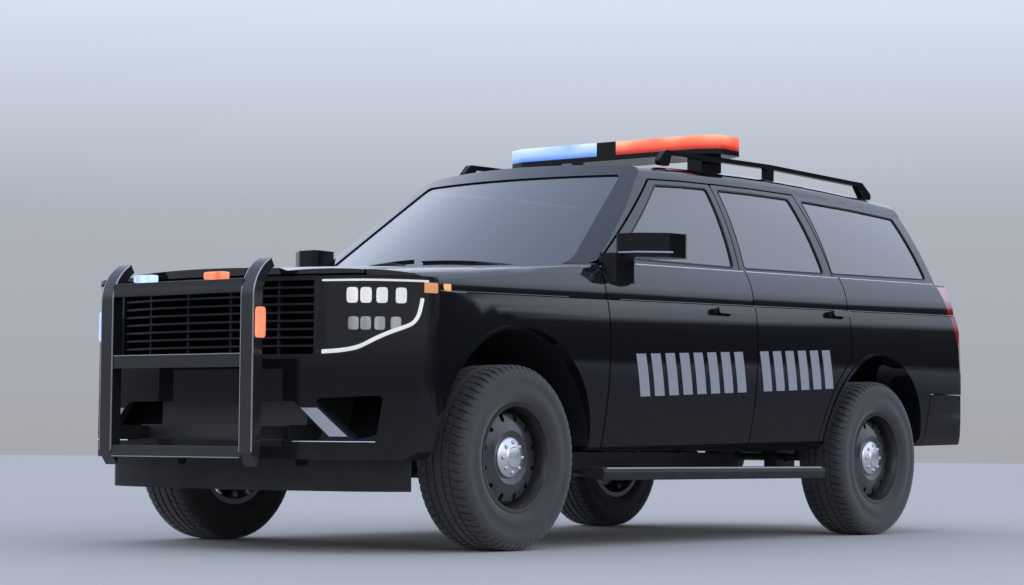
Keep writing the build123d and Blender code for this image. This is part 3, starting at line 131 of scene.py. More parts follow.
# %% Patches
def grid(points, wrap_rows=False, wrap_columns=False, caps=False):
    """Points (rows, columns, 3) and the quads between neighbouring rows and columns. A wrapped
    direction joins its last line to its first, and caps close the first and the last row."""
    rows, columns = points.shape[:2]
    index = np.arange(rows * columns).reshape(rows, columns)
    first, last = index[0], index[-1]
    if wrap_rows:
        index = np.concatenate([index, index[:1]], axis=0)
    if wrap_columns:
        index = np.concatenate([index, index[:, :1]], axis=1)
    quads = np.stack([index[:-1, :-1], index[1:, :-1], index[1:, 1:], index[:-1, 1:]], axis=-1)
    faces = quads.reshape(-1, 4).tolist()
    if caps:
        faces += [first[::-1].tolist(), last.tolist()]
    return points.reshape(-1, 3), faces


def piece(name, patches, finish, body, stands_for=(), sharp=38.0):
    """Joins patches into one mesh, closes its seams, turns its faces outwards and rides it."""
    starts = np.cumsum([0] + [len(p) for p, _ in patches])
    corners = np.concatenate([p for p, _ in patches])
    faces = [[i + start for i in face] for (_, own), start in zip(patches, starts) for face in own]
    mesh = bpy.data.meshes.new(name)
    mesh.from_pydata(corners.tolist(), [], faces)
    work = bmesh.new()
    work.from_mesh(mesh)
    bmesh.ops.remove_doubles(work, verts=work.verts, dist=2e-5)
    bmesh.ops.dissolve_degenerate(work, edges=work.edges, dist=1e-6)
    bmesh.ops.recalc_face_normals(work, faces=work.faces)
    work.to_mesh(mesh)
    work.free()
    mesh.polygons.foreach_set("use_smooth", np.ones(len(mesh.polygons), bool))
    mesh.set_sharp_from_angle(angle=math.radians(sharp))
    made = bpy.data.objects.new(name, mesh)
    bpy.context.scene.collection.objects.link(made)
    made.data.materials.append(finish.material)
    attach(made, body)
    if stands_for:
        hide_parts(*stands_for)
    print(f"{name}: {len(mesh.polygons)} faces on {body}")
    return made


def flipped(patch):
    """The same patch on the car's other side."""
    points, faces = patch
    return points * (-1, 1, 1), faces


def pair(patches):
    """Patches and their mirror images."""
    return patches + [flipped(p) for p in patches]


# %% [markdown]
# Most trim is a small section carried along a path, as a rolled strip or a bent wire is. A curve
# object with a bevel would do too, but arrays keep every point on a formula.

# %% Sections and paths
def ring(count, half_width, half_height, square=2.0):
    """A closed oval section: |a|^n + |b|^n = 1, from an ellipse at n = 2 to nearly a box at 8."""
    angle = np.linspace(0, 2 * np.pi, count, endpoint=False)
    c, s = np.cos(angle), np.sin(angle)
    return np.stack([
        half_width * np.sign(c) * np.abs(c) ** (2 / square),
        half_height * np.sign(s) * np.abs(s) ** (2 / square),
    ], axis=1)


def smooth(points, count):
    """A path resampled at even steps through its points, on a Catmull-Rom curve: each span is the
    cubic whose end slopes are half the vector between its neighbours."""
    p = np.asarray(points, float)
    p = np.concatenate([2 * p[:1] - p[1:2], p, 2 * p[-1:] - p[-2:-1]])
    t = np.linspace(0, len(p) - 3, count * 4)
    span = np.minimum(t.astype(int), len(p) - 4)
    f = (t - span)[:, None]
    a, b, c, d = p[span], p[span + 1], p[span + 2], p[span + 3]
    bend = (2 * a - 5 * b + 4 * c - d) * f**2 + (3 * b - 3 * c + d - a) * f**3
    return evened(0.5 * (2 * b + (c - a) * f + bend), count)


def evened(curve, count, closed=False):
    """The same line with its points at equal steps of length."""
    line = np.concatenate([curve, curve[:1]]) if closed else curve
    run = np.concatenate([[0], np.cumsum(np.linalg.norm(np.diff(line, axis=0), axis=1))])
    at = np.linspace(0, run[-1], count, endpoint=not closed)
    return np.stack([np.interp(at, run, line[:, k]) for k in range(3)], axis=1)


def sweep(path, section, up=(0, 0, 1), closed=False, scale=None):
    """A section carried along a path. The tangent is the central difference; the section's first
    axis is up x tangent and its second is tangent x first, so it never twists about a fixed up."""
    path = np.asarray(path, float)
    if closed:
        tangent = np.roll(path, -1, axis=0) - np.roll(path, 1, axis=0)
    else:
        tangent = np.gradient(path, axis=0)
    tangent /= np.linalg.norm(tangent, axis=1, keepdims=True)
    side = np.cross(np.broadcast_to(up, path.shape), tangent)
    side /= np.linalg.norm(side, axis=1, keepdims=True)
    over = np.cross(tangent, side)
    size = np.ones(len(path)) if scale is None else np.asarray(scale, float)
    points = (
        path[:, None]
        + side[:, None] * section[None, :, :1] * size[:, None, None]
        + over[:, None] * section[None, :, 1:] * size[:, None, None]
    )
    return grid(points, wrap_rows=closed, wrap_columns=True, caps=not closed)


# %% [markdown]
# Round parts are a profile turned about an axle, and moulded or padded ones are rounded blocks. A
# sheet is a patch, its copy set back by the thickness, and a rim between the two.

# %% Turned, rounded and sheet shapes
def turned(profile, centre, count, outward):
    """A profile of (distance along X, radius) turned about an axle through the centre."""
    profile = np.asarray(profile, float)
    angle = np.linspace(0, 2 * np.pi, count, endpoint=False)
    x = np.broadcast_to(profile[:, None, 0] * outward, (len(profile), count))
    points = np.stack([x, profile[:, None, 1] * np.cos(angle), profile[:, None, 1] * np.sin(angle)], axis=-1)
    return grid(points + np.asarray(centre), wrap_columns=True)


def pebble(centre, half, square=5.0, rows=20, columns=40):
    """A rounded block: |x/a|^n + |y/b|^n + |z/c|^n = 1, swept by latitude and longitude."""
    lat = np.linspace(-np.pi / 2, np.pi / 2, rows)[:, None]
    lon = np.linspace(-np.pi, np.pi, columns, endpoint=False)[None, :]

    def soft(v):
        return np.sign(v) * np.abs(v) ** (2 / square)

    points = np.stack([
        half[0] * soft(np.cos(lat)) * soft(np.cos(lon)),
        half[1] * soft(np.cos(lat)) * soft(np.sin(lon)),
        half[2] * soft(np.sin(lat)) * np.ones_like(lon),
    ], axis=-1)
    return grid(points + np.asarray(centre), wrap_columns=True)


def skin(points, thickness, outward):
    """A thin closed sheet: the grid of points, the same grid moved back, and a rim between."""
    points = np.asarray(points, float)
    back = points - np.asarray(outward, float) * thickness
    rows, columns = points.shape[:2]
    rim = np.concatenate([points[0], points[1:-1, -1], points[-1, ::-1], points[-2:0:-1, 0]])
    rim_back = np.concatenate([back[0], back[1:-1, -1], back[-1, ::-1], back[-2:0:-1, 0]])
    return [grid(points), grid(back), grid(np.stack([rim, rim_back]), wrap_columns=True)]


# %% [markdown]
# ## Finishes
#
# A finish is a Principled shader with a few nodes. They could be wired by hand in the Shader
# Editor. Here sums on sockets are written as plain arithmetic, which keeps a pattern readable:
# `0.2 + 0.1 * grain`.

# %% Wires
class Wire:
    """An output socket on which arithmetic adds Math nodes."""

    def __init__(self, board, socket):
        self.board = board
        self.socket = socket

    def math(self, operation, first, second):
        """A Math node of two wires or numbers."""
        return self.board.node("ShaderNodeMath", {"operation": operation}, {0: first, 1: second})

    def __add__(self, other):
        return self.math("ADD", self, other)

    def __radd__(self, other):
        return self.math("ADD", other, self)

    def __sub__(self, other):
        return self.math("SUBTRACT", self, other)

    def __rsub__(self, other):
        return self.math("SUBTRACT", other, self)

    def __mul__(self, other):
        return self.math("MULTIPLY", self, other)

    def __rmul__(self, other):
        return self.math("MULTIPLY", other, self)

    def limit(self, low=0.0, high=1.0):
        """The value kept between two limits."""
        return self.math("MINIMUM", self.math("MAXIMUM", self, low), high)


# %% [markdown]
# Every other node comes from one method of a board, so each line names the node, its settings and
# what feeds it. The same class serves the materials, the smoothing of panels and the sky.

# %% Boards of nodes
class Board:
    """A node tree, with one way to fill a socket and one way to add a node."""

    def __init__(self, tree):
        self.tree = tree

    def join(self, socket, value):
        """A wire is linked to the socket, and a plain value is written into it."""
        if isinstance(value, Wire):
            self.tree.links.new(value.socket, socket)
        else:
            socket.default_value = value

    def node(self, kind, settings=None, inputs=None, out=0):
        """A new node: its settings first, then its sockets, by number or name."""
        made = self.tree.nodes.new(kind)
        for key, value in (settings or {}).items():
            if key == "stops":
                ramp = made.color_ramp.elements
                while len(ramp) < len(value):
                    ramp.new(1.0)
                for element, (position, colour) in zip(ramp, value):
                    element.position = position
                    element.color = (*colour, 1.0)
            else:
                setattr(made, key, value)
        for key, value in (inputs or {}).items():
            self.join(made.inputs[key], value)
        return Wire(self, made.outputs[out])


# %% [markdown]
# Real surfaces differ from a plain colour in three ways, and each is a method here: the gloss
# wanders, a fine grain is pressed in, and road film gathers low down.

# %% Finishes
ROAD_DUST = (0.16, 0.15, 0.14)


def opaque(colour):
    """A colour as red, green, blue and 1, or a wire as it is."""
    return colour if isinstance(colour, Wire) else (*colour, 1.0)


class Finish(Board):
    """A material: the shader's plain numbers come first, then nodes for what varies."""

    def __init__(self, name, colour, roughness, **sockets):
        self.material = bpy.data.materials.new(name)
        self.material.use_nodes = True
        super().__init__(self.material.node_tree)
        self.shader = self.tree.nodes["Principled BSDF"]
        self.colour = colour
        self.set("Base Color", opaque(colour))
        self.set("Roughness", roughness)
        for key, value in sockets.items():
            self.set(key.replace("_", " ").title().replace("Ior", "IOR"), value)

    def set(self, key, value):
        """Fills a socket of the shader."""
        self.join(self.shader.inputs[key], value)

    def place(self):
        """Object coordinates: the frame's metres, because every piece sits at the origin."""
        return self.node("ShaderNodeTexCoord", out="Object")

    def height(self):
        """How far a point is above the ground, in metres: its z in the frame."""
        return self.node("ShaderNodeSeparateXYZ", inputs={0: self.place()}, out="Z")

    def noise(self, scale, detail=3.0):
        """A cloudy value that changes about scale times in a metre."""
        sockets = {"Vector": self.place(), "Scale": scale, "Detail": detail, "Roughness": 0.55}
        return self.node("ShaderNodeTexNoise", inputs=sockets)

    def stripes(self, direction, scale, distortion=0.0):
        """Soft parallel bands across the piece's own X or Z."""
        settings = {"wave_type": "BANDS", "bands_direction": direction}
        sockets = {"Vector": self.place(), "Scale": scale, "Distortion": distortion}
        return self.node("ShaderNodeTexWave", settings, sockets)

    def mixed(self, factor, first, second):
        """A colour between two, by a factor."""
        sockets = {0: factor, 6: opaque(first), 7: opaque(second)}
        return self.node("ShaderNodeMix", {"data_type": "RGBA"}, sockets, out=2)

    def bump(self, height, strength, distance):
        """Leans the shading by the slope of a height, as dents and grain do."""
        sockets = {"Height": height, "Strength": strength, "Distance": distance}
        self.set("Normal", self.node("ShaderNodeBump", inputs=sockets))

    def uneven(self, low, span, scale, detail=3.0):
        """Gloss that wanders: the roughness is low + span * noise."""
        self.set("Roughness", low + span * self.noise(scale, detail))

    def grained(self, scale, strength, distance, detail=2.0):
        """A fine grain pressed into the surface."""
        self.bump(self.noise(scale, detail), strength, distance)

    def dusty(self, roughness, top, amount):
        """Road film: a noise that fades out with height lightens the colour and dulls the gloss."""
        film = ((top - self.height()) * (1.0 / top)).limit() * self.noise(7.0, 6.0) * amount
        self.set("Base Color", self.mixed(film.limit(), self.colour, ROAD_DUST))
        self.set("Roughness", roughness + 0.5 * film)


# %% [markdown]
# The body is deep black paint under a clear coat. A faint orange peel keeps its reflections from
# looking like a mirror. Road film greys the sills and dulls them. The coat's weight also rises with height,
# so the lower half of the car
# mirrors less: painted shade, for the dark ground that the doors reflect. Even gloss would make a toy of it.

# %% Paint and plastics
paint = Finish(
    "black_paint", (0.006, 0.007, 0.009), 0.3, specular_ior_level=0.0, coat_roughness=0.03, coat_ior=1.7
)
paint.dusty(0.22, 0.7, 0.3)
# the coat's weight falls towards the ground: painted shade on the lower doors, beside the real dulling by
# road film
paint.set("Coat Weight", (0.45 + 2.4 * (paint.height() - 0.84)).limit(0.28, 1.0))
paint.grained(160.0, 0.03, 0.0006)

plastic = Finish("black_plastic", (0.014, 0.014, 0.016), 0.5, specular_ior_level=0.25)
plastic.dusty(0.5, 0.6, 0.5)
plastic.grained(900.0, 0.25, 0.0003)

gloss_trim = Finish("gloss_trim", (0.004, 0.004, 0.005), 0.16, specular_ior_level=0.3)
gloss_trim.uneven(0.14, 0.08, 40.0)

powder = Finish("black_steel", (0.02, 0.02, 0.022), 0.4)
powder.dusty(0.36, 0.8, 0.3)
powder.grained(650.0, 0.2, 0.0003)

bar_paint = Finish(
    "bumper_bar_paint", (0.008, 0.008, 0.010), 0.4, specular_ior_level=0.2,
    coat_weight=0.8, coat_roughness=0.12,
)
bar_paint.dusty(0.38, 0.9, 0.25)
bar_paint.grained(420.0, 0.06, 0.0003)

# Black with no reflection at all: painted shade, laid in the side groove and behind the grille.
shadow_line = Finish("painted_shade_line", (0.002, 0.002, 0.003), 0.9, specular_ior_level=0.0)
shadow_line.uneven(0.85, 0.1, 80.0)

grey_trim = Finish("grey_plastic", (0.05, 0.05, 0.054), 0.6)
grey_trim.grained(700.0, 0.3, 0.0004)

silver = Finish("silver_film", (0.42, 0.43, 0.46), 0.35, metallic=0.4)
silver.uneven(0.3, 0.15, 35.0, 4.0)
print("finishes:", len(bpy.data.materials))

# %% [markdown]
# Metal shows on the caps and the running gear, and pale metal makes the painted highlights on the belt line
# and the push bumper's edges. One metal shader would do for all; here each has its own colour, gloss and
# dust, and castings have a sandy grain.

# %% Metals
bright = Finish("satin_steel", (0.74, 0.74, 0.76), 0.3, metallic=1.0)
bright.uneven(0.24, 0.18, 60.0, 5.0)

# Pale beads along the push bumper's edges: a painted highlight where the edges catch the light.
painted_edge_highlight = Finish("painted_edge_highlight", (0.50, 0.49, 0.52), 0.4, metallic=0.2)
painted_edge_highlight.uneven(0.35, 0.2, 90.0, 4.0)

cast = Finish("cast_metal", (0.14, 0.135, 0.13), 0.62, metallic=0.8)
cast.dusty(0.55, 0.9, 0.6)
cast.grained(240.0, 0.4, 0.0008, 4.0)

steel = Finish("steel", (0.36, 0.34, 0.32), 0.45, metallic=0.9)
steel.dusty(0.4, 0.9, 0.6)

wheel_paint = Finish("wheel_steel", (0.012, 0.012, 0.013), 0.28, coat_weight=0.6, coat_roughness=0.1)
wheel_paint.dusty(0.26, 0.85, 0.45)
print("finishes:", len(bpy.data.materials))

# %% [markdown]
# Tyre rubber is never black in daylight: fine dust lies in it and its sides scatter the sky. Seat
# cloth is two sets of threads multiplied. Glass could refract, but a dark, nearly solid sheet under
# a strong coat mirrors the sky the same way and renders fast.

# %% Rubber, cloth and glass
rubber = Finish("tyre_rubber", (0.03, 0.03, 0.031), 0.7, sheen_weight=0.25)
scuff = rubber.noise(22.0, 6.0)
rubber.set("Base Color", rubber.mixed(scuff, (0.022, 0.022, 0.023), (0.06, 0.057, 0.055)))
rubber.set("Roughness", 0.6 + 0.25 * scuff)
rubber.grained(500.0, 0.3, 0.0004, 3.0)

seal = Finish("seal_rubber", (0.012, 0.012, 0.012), 0.6)
seal.grained(800.0, 0.2, 0.0002)

cloth = Finish("seat_cloth", (0.035, 0.035, 0.038), 0.85, sheen_weight=0.4)
threads = cloth.stripes("X", 210.0, 0.6) * cloth.stripes("Z", 210.0, 0.6)
cloth.set("Base Color", cloth.mixed(threads, (0.02, 0.02, 0.023), (0.055, 0.055, 0.06)))
cloth.bump(threads, 0.5, 0.0006)


def pane(name, colour, roughness, alpha, coat_ior):
    """Glass as a nearly solid dark sheet under a coat that mirrors more the higher its index."""
    return Finish(
        name, colour, roughness, alpha=alpha, specular_ior_level=0.8,
        coat_weight=1.0, coat_roughness=0.02, coat_ior=coat_ior,
    )


tint = pane("tinted_glass", (0.012, 0.014, 0.018), 0.03, 0.88, 1.9)
tint.uneven(0.02, 0.03, 9.0)
screen_glass = pane("screen_glass", (0.02, 0.024, 0.026), 0.02, 0.78, 2.0)
screen_glass.uneven(0.015, 0.03, 8.0)
lens_clear = Finish("clear_lens", (0.05, 0.052, 0.056), 0.03, alpha=0.15, coat_weight=0.5)
lens_clear.uneven(0.02, 0.02, 30.0)
bowl = Finish("lamp_bowl", (0.008, 0.008, 0.009), 0.25, specular_ior_level=0.25)
bowl.uneven(0.18, 0.15, 60.0)
print("finishes:", len(bpy.data.materials))

# %% [markdown]
# A lit lamp is a lens with diodes behind it. Here the lens itself glows, with no lamp object
# inside, and its glow is paler where a diode shines through.

# %% Lit lamps
def lamp(name, colour, strength, core):
    """A lit lamp: soft stripes and a slow noise add up to patches of the paler core colour."""
    made = Finish(name, tuple(0.35 * c for c in colour), 0.2, emission_strength=strength)
    beads = (0.3 * made.stripes("X", 5.2) + 0.9 * made.noise(9.0, 1.0)).limit()
    made.set("Emission Color", made.mixed(beads, colour, core))
    return made


def bar_lamp(name, node, foot, colour, core):
    """A lens of the roof bar: deep colour at its foot, and a pale core near its top where the
    diodes shine through. The height in the lens, from 0 to 1, is squared so that the foot stays
    dark longer, and a slow noise along the bar breaks the core into separate glows."""
    low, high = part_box(node)
    made = Finish(name, tuple(0.3 * c for c in colour), 0.15, emission_strength=1.0, coat_weight=0.6)
    rise = ((made.height() - low.z) * (1.0 / (high.z - low.z))).limit()
    patches = (2.2 * made.noise(4.5, 1.0) - 0.55).limit()
    lit = made.mixed((rise * rise * patches * 1.5).limit(), colour, core)
    made.set("Emission Color", made.mixed((2.5 * rise).limit(), foot, lit))
    return made


bar_blue = bar_lamp("bar_blue_lens", "lens_blue", (0.05, 0.16, 0.60), (0.28, 0.48, 1.0), (0.78, 0.90, 1.0))
bar_red = bar_lamp("bar_red_lens", "lens_red", (0.22, 0.004, 0.01), (0.90, 0.06, 0.02), (1.0, 0.58, 0.38))
blue_glow = lamp("blue_lens", (0.08, 0.22, 1.0), 1.3, (0.65, 0.80, 1.0))
red_glow = lamp("red_lens", (1.0, 0.05, 0.02), 1.2, (1.0, 0.42, 0.22))
white_glow = lamp("white_lamp", (0.82, 0.86, 0.92), 0.95, (1.0, 1.0, 1.0))
soft_glow = lamp("dim_lamp", (0.12, 0.125, 0.14), 0.9, (0.55, 0.57, 0.62))
amber_glow = lamp("amber_lamp", (1.0, 0.42, 0.16), 0.75, (1.0, 0.55, 0.25))
tail_red = Finish("tail_red", (0.28, 0.008, 0.012), 0.12, coat_weight=0.8, coat_roughness=0.04)
tail_cells = tail_red.mixed(tail_red.noise(26.0), (0.20, 0.006, 0.01), (0.36, 0.012, 0.016))
TAIL_PALE_FROM = 1.235
pale = ((tail_red.height() - TAIL_PALE_FROM) * 14.0).limit()
tail_red.set("Base Color", tail_red.mixed(pale, tail_cells, (0.55, 0.30, 0.33)))
print("finishes:", len(bpy.data.materials))

# %% [markdown]
# ## Dressing the panels
#
# The frame's meshes are loose triangles. A node group welds them and shades them smooth up to a
# fixed angle, weighted normals keep thin triangles from showing in the paint, and a bevel softens
# edges so that they catch the light. Modifiers do all this, so the meshes stay as they are.

# %% Smoothing
def smoothing_tree(angle):
    """Weld, shade every face smooth, then keep each edge sharp whose faces meet at more than the
    angle."""
    group = bpy.data.node_groups.new("weld_and_smooth", "GeometryNodeTree")
    for way in ("INPUT", "OUTPUT"):
        group.interface.new_socket("Geometry", in_out=way, socket_type="NodeSocketGeometry")
    tree = Board(group)
    start = tree.node("NodeGroupInput")
    weld = tree.node("GeometryNodeMergeByDistance", inputs={0: start, "Distance": 2e-5})
    faces = tree.node("GeometryNodeSetShadeSmooth", {"domain": "FACE"}, {0: weld})
    fold = tree.node("GeometryNodeInputMeshEdgeAngle", out="Unsigned Angle")
    wide = tree.node("FunctionNodeCompare", {"operation": "GREATER_THAN"}, {0: fold, 1: angle}, "Result")
    creases = {0: faces, "Selection": wide, "Shade Smooth": False}
    edges = tree.node("GeometryNodeSetShadeSmooth", {"domain": "EDGE"}, creases)
    group.links.new(edges.socket, group.nodes.new("NodeGroupOutput").inputs[0])
    return group


SMOOTHING = smoothing_tree(math.radians(26))
CREASED = smoothing_tree(math.radians(8))
CREASED_PANELS = ("liftgate", "tail_lamps")
print("smoothing:", SMOOTHING.name, "and", CREASED.name)

# %% [markdown]
# Each panel of the frame gets one finish. A table keeps the whole car in view, and a panel that
# is missing from it would show in the count. The liftgate and tail lamps keep fainter creases.

# %% Panels
# side and station of each wheel
CORNERS = {
    "front_left": (1, FRONT_WHEEL), "front_right": (-1, FRONT_WHEEL),
    "rear_left": (1, FRONT_WHEEL + WHEELBASE), "rear_right": (-1, FRONT_WHEEL + WHEELBASE),
}

PANEL_FINISHES = {
    paint: (
        "body_side_left", "body_side_right", "roof_panel", *(f"door_{corner}" for corner in CORNERS),
        "liftgate", "hood", "front_fenders", "front_bumper", "rear_bumper",
    ),
    plastic: ("cowl", "wheel_liners", "grille", "running_boards"),
    gloss_trim: ("roof_rails", "lightbar_base", "mirror_left", "mirror_right"),
    powder: ("chassis_frame", "suspension"),
    bar_paint: ("push_bumper",),
    cast: ("knuckle_left", "knuckle_right", "powertrain"),
    steel: ("exhaust",),
    wheel_paint: tuple(f"wheel_{corner}" for corner in CORNERS),
    rubber: tuple(f"tyre_{corner}" for corner in CORNERS),
    grey_trim: ("floor_pan", "dashboard"),
    cloth: ("front_seats", "rear_seat"),
    tint: (*(f"glass_{corner}" for corner in CORNERS), "quarter_glass", "tail_glass"),
    screen_glass: ("windscreen",),
    lens_clear: ("headlamp_lenses",),
    bowl: ("headlamp_bowls",),
    tail_red: ("tail_lamps",),
    bar_blue: ("lens_blue",),
    bar_red: ("lens_red",),
    blue_glow: ("push_lamps_blue",),
    red_glow: ("push_lamps_red",),
}
for finish, names in PANEL_FINISHES.items():
    for name in names:
        panel = NODES[name]
        for material_slot in panel.material_slots:
            material_slot.material = finish.material
        smoother = panel.modifiers.new("smooth", "NODES")
        smoother.node_group = CREASED if name in CREASED_PANELS else SMOOTHING
        if finish is paint:
            even = panel.modifiers.new("even_normals", "WEIGHTED_NORMAL")
            even.keep_sharp = True
print("dressed:", sum(len(v) for v in PANEL_FINISHES.values()), "of", len(NODES))

# %% [markdown]
# Moulded and folded edges are never sharp. The bevel's width is what a casting or a bend of that
# piece has, and the panels with shut lines get none, because their gaps would grow.

# %% Soft edges
SOFT_EDGES = {
    "push_bumper": 0.008, "roof_rails": 0.003, "running_boards": 0.003, "rear_bumper": 0.005,
    "lightbar_base": 0.003, "lens_blue": 0.007, "lens_red": 0.007, "mirror_left": 0.009,
    "mirror_right": 0.009, "tail_lamps": 0.002,
}
for name, width in SOFT_EDGES.items():
    bevel = NODES[name].modifiers.new("soft_edges", "BEVEL")
    bevel.width = width
    bevel.segments = 3
    bevel.limit_method = "ANGLE"
    bevel.angle_limit = math.radians(34)
    bevel.harden_normals = True
print("softened:", len(SOFT_EDGES), "pieces")

# %% [markdown]
# ## Tyres
#
# A tyre is a section turned about the axle. The section is drawn once, with the edges of its
# grooves as doubled points, and cross slots sink the tread at even pitches round it.

# %% Tread
# distance from the middle, radius, groove, slot share
TYRE_SECTION = np.array([
    (0.0000, 0.4075, 0, 0), (0.0165, 0.4075, 0, 0), (0.0185, 0.4075, 1, 0), (0.0255, 0.4075, 1, 0),
    (0.0275, 0.4074, 0, 0.5), (0.0560, 0.4072, 0, 0.5), (0.0580, 0.4072, 1, 0), (0.0650, 0.4070, 1, 0),
    (0.0670, 0.4070, 0, 1), (0.0970, 0.4062, 0, 1), (0.1110, 0.4030, 0, 1), (0.1225, 0.3945, 0, 0.8),
    (0.1290, 0.3830, 0, 0.3), (0.1320, 0.3740, 0, 0), (0.1325, 0.3725, 0, 0), (0.1345, 0.3600, 0, 0),
    (0.1362, 0.3420, 0, 0), (0.1355, 0.3405, 0, 0), (0.1368, 0.3200, 0, 0), (0.1360, 0.3000, 0, 0),
    (0.1366, 0.2985, 0, 0), (0.1330, 0.2760, 0, 0), (0.1255, 0.2590, 0, 0), (0.1180, 0.2500, 0, 0),
    (0.1150, 0.2440, 0, 0), (0.1105, 0.2417, 0, 0), (0.1080, 0.2300, 0, 0),
])
PITCHES = 66
GROOVE_DEPTH = 0.008


def hub(side, station):
    """The centre of a wheel."""
    return placed(side * HALF_TRACK, station, TYRE_RADIUS)


def tyre(side, station):
    """Angles come in fours for each pitch: two on the block and two in the slot. The slots lean
    with distance from the middle, and every point's radius is its section less what is cut."""
    w, radius, groove, slot = np.concatenate([TYRE_SECTION[:0:-1] * (-1, 1, 1, 1), TYRE_SECTION]).T
    steps = np.array([0.0, 0.72, 0.77, 0.95])
    sunk = np.tile([0.0, 0.0, 1.0, 1.0], PITCHES)
    angle = ((np.arange(PITCHES)[:, None] + steps) * 2 * np.pi / PITCHES).ravel()
    lean = 0.09 * np.minimum(np.abs(w) / 0.12, 1.0) + np.where(w < 0, np.pi / PITCHES, 0.0)
    theta = angle[None, :] + lean[:, None]
    cut = GROOVE_DEPTH * np.maximum(groove[:, None], slot[:, None] * sunk[None, :])
    r = radius[:, None] - cut
    points = np.stack([np.broadcast_to(w[:, None], r.shape), r * np.cos(theta), r * np.sin(theta)], axis=-1)
    return grid(points + hub(side, station), wrap_rows=True, wrap_columns=True)


for corner, place in CORNERS.items():
    stands_for = (f"tyre_{corner}",)
    piece(f"tread_{corner}", [tyre(*place)], rubber, f"{corner}_wheel", stands_for, 50)

# %% [markdown]
# A domed bright cap with a rolled rim and lug bumps covers each hub. A real cap is spun from
# sheet, and this one is a profile turned about the axle in the same way.

# %% Wheel caps
CAP_PROFILE = [(0.0700, 0.0890), (0.0780, 0.0900), (0.0830, 0.0870), (0.0850, 0.0820), (0.0905, 0.0730),
               (0.0975, 0.0520), (0.0990, 0.0480), (0.1050, 0.0440), (0.1085, 0.0300), (0.1100, 0.0001)]
LUGS = 8
LUG_CIRCLE = 0.066
LUG_FACE = 0.0925
LUG_SIZE = 0.009
for corner, (side, station) in CORNERS.items():
    centre = hub(side, station)
    around = np.arange(LUGS) * 2 * np.pi / LUGS
    face = np.full(LUGS, side * LUG_FACE)
    lugs = centre + np.stack([face, LUG_CIRCLE * np.cos(around), LUG_CIRCLE * np.sin(around)], axis=1)
    bumps = [pebble(at, (LUG_SIZE, LUG_SIZE, LUG_SIZE), 2.4, 8, 12) for at in lugs]
    cap = turned(CAP_PROFILE, centre, 72, side)
    piece(f"cap_{corner}", [cap] + bumps, bright, f"{corner}_wheel")

# %% [markdown]
# ## Lamps
#
# Behind each clear lens sit a bright row of units, a dimmer one below, a thin line along the top
# and a bracket of light down the outer edge and along the foot. An amber marker is set in the outer
# end. All follow the nose, so width and height are enough to place them.

# %% Headlamps
# half width, height
BRACKET = [(0.946, 1.075), (0.943, 1.036), (0.938, 0.998), (0.927, 0.968), (0.905, 0.949), (0.872, 0.929),
           (0.834, 0.905), (0.775, 0.869), (0.705, 0.854), (0.619, 0.848)]
UNITS_IN_ROW = 4
UNIT_INSET = 0.036
LINE_INSET = 0.012


def on_nose(points, inset):
    """Points of (half width, height) put on the nose, drawn in by an inset."""
    x, z = np.moveaxis(np.asarray(points, float), -1, 0)
    return placed(x, nose(x, inset), z)


def level_line(x_from, x_to, z, inset, count):
    """A line along the nose at one height, its points at even steps of length."""
    x = np.linspace(x_from, x_to, count)
    return evened(placed(x, nose(x, inset), z), count)


def shares(x_from, x_to, count):
    """The middles of equal shares between two widths, and the size of one share."""
    edges = np.linspace(x_from, x_to, count + 1)
    return (edges[:-1] + edges[1:]) / 2, edges[1] - edges[0]


def lamp_units(x_from, x_to, z, half_height):
    """A row of rounded units along the nose, each a little narrower than its share."""
    middles, share = shares(x_from, x_to, UNITS_IN_ROW)
    half = (share * 0.44, 0.016, half_height)
    return [pebble(placed(x, nose(x, UNIT_INSET), z), half, 5, 14, 28) for x in middles]


lamp_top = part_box("headlamp_lenses")[1].z - 0.020
bracket = sweep(smooth(on_nose(BRACKET, LINE_INSET), 60), ring(12, 0.009, 0.005, 3), up=(0, -1, 0.2))
top_line = sweep(level_line(0.618, 0.955, lamp_top, LINE_INSET, 40), ring(12, 0.006, 0.0045, 3))
marker = sweep(level_line(0.950, 0.974, lamp_top - 0.027, LINE_INSET, 20), ring(12, 0.006, 0.022, 4))
for name, patches, glow in (
    ("lamp_brackets", [bracket], white_glow),
    ("lamp_top_lines", [top_line], white_glow),
    ("lamp_upper_units", lamp_units(0.703, 0.907, lamp_top - 0.062, 0.033), white_glow),
    ("lamp_lower_units", lamp_units(0.712, 0.892, lamp_top - 0.180, 0.028), soft_glow),
    ("side_markers", [marker], amber_glow),
):
    piece(name, pair(patches), glow, "body")

# %% [markdown]
# ## Lower front
#
# A leaning bar parts the intake from each lamp pocket, and a pale blade is set in its face. A
# thin bright lip follows the foot of the whole opening. Both lie on the nose's own arcs, just
# proud of the bumper's skin.

# %% Blades and lip
def nose_patch(top_in, top_out, foot_in, foot_out, off, thickness):
    """A four-cornered plate on the nose. Its corners are (half width, height), and a point between
    them is the mix of the top and foot edges, each the mix of its two corners."""
    u = np.linspace(0, 1, 10)[:, None, None]
    v = np.linspace(0, 1, 16)[None, :, None]
    top = (1 - u) * np.array(top_in) + u * np.array(top_out)
    foot = (1 - u) * np.array(foot_in) + u * np.array(foot_out)
    return skin(on_nose((1 - v) * top + v * foot, -off), thickness, (0, -1, 0))


PROUD = 0.0035
LIP_Z = 0.4705
blades = nose_patch((0.536, 0.612), (0.612, 0.612), (0.668, 0.492), (0.746, 0.492), PROUD, 0.003)
piece("bumper_blades", pair(blades), silver, "body")
lip = sweep(level_line(0.500, 0.846, LIP_Z, -PROUD, 60), ring(10, 0.0030, 0.0030), up=(0, -1, 0.2))
piece("bumper_lips", pair([lip]), bright, "body")

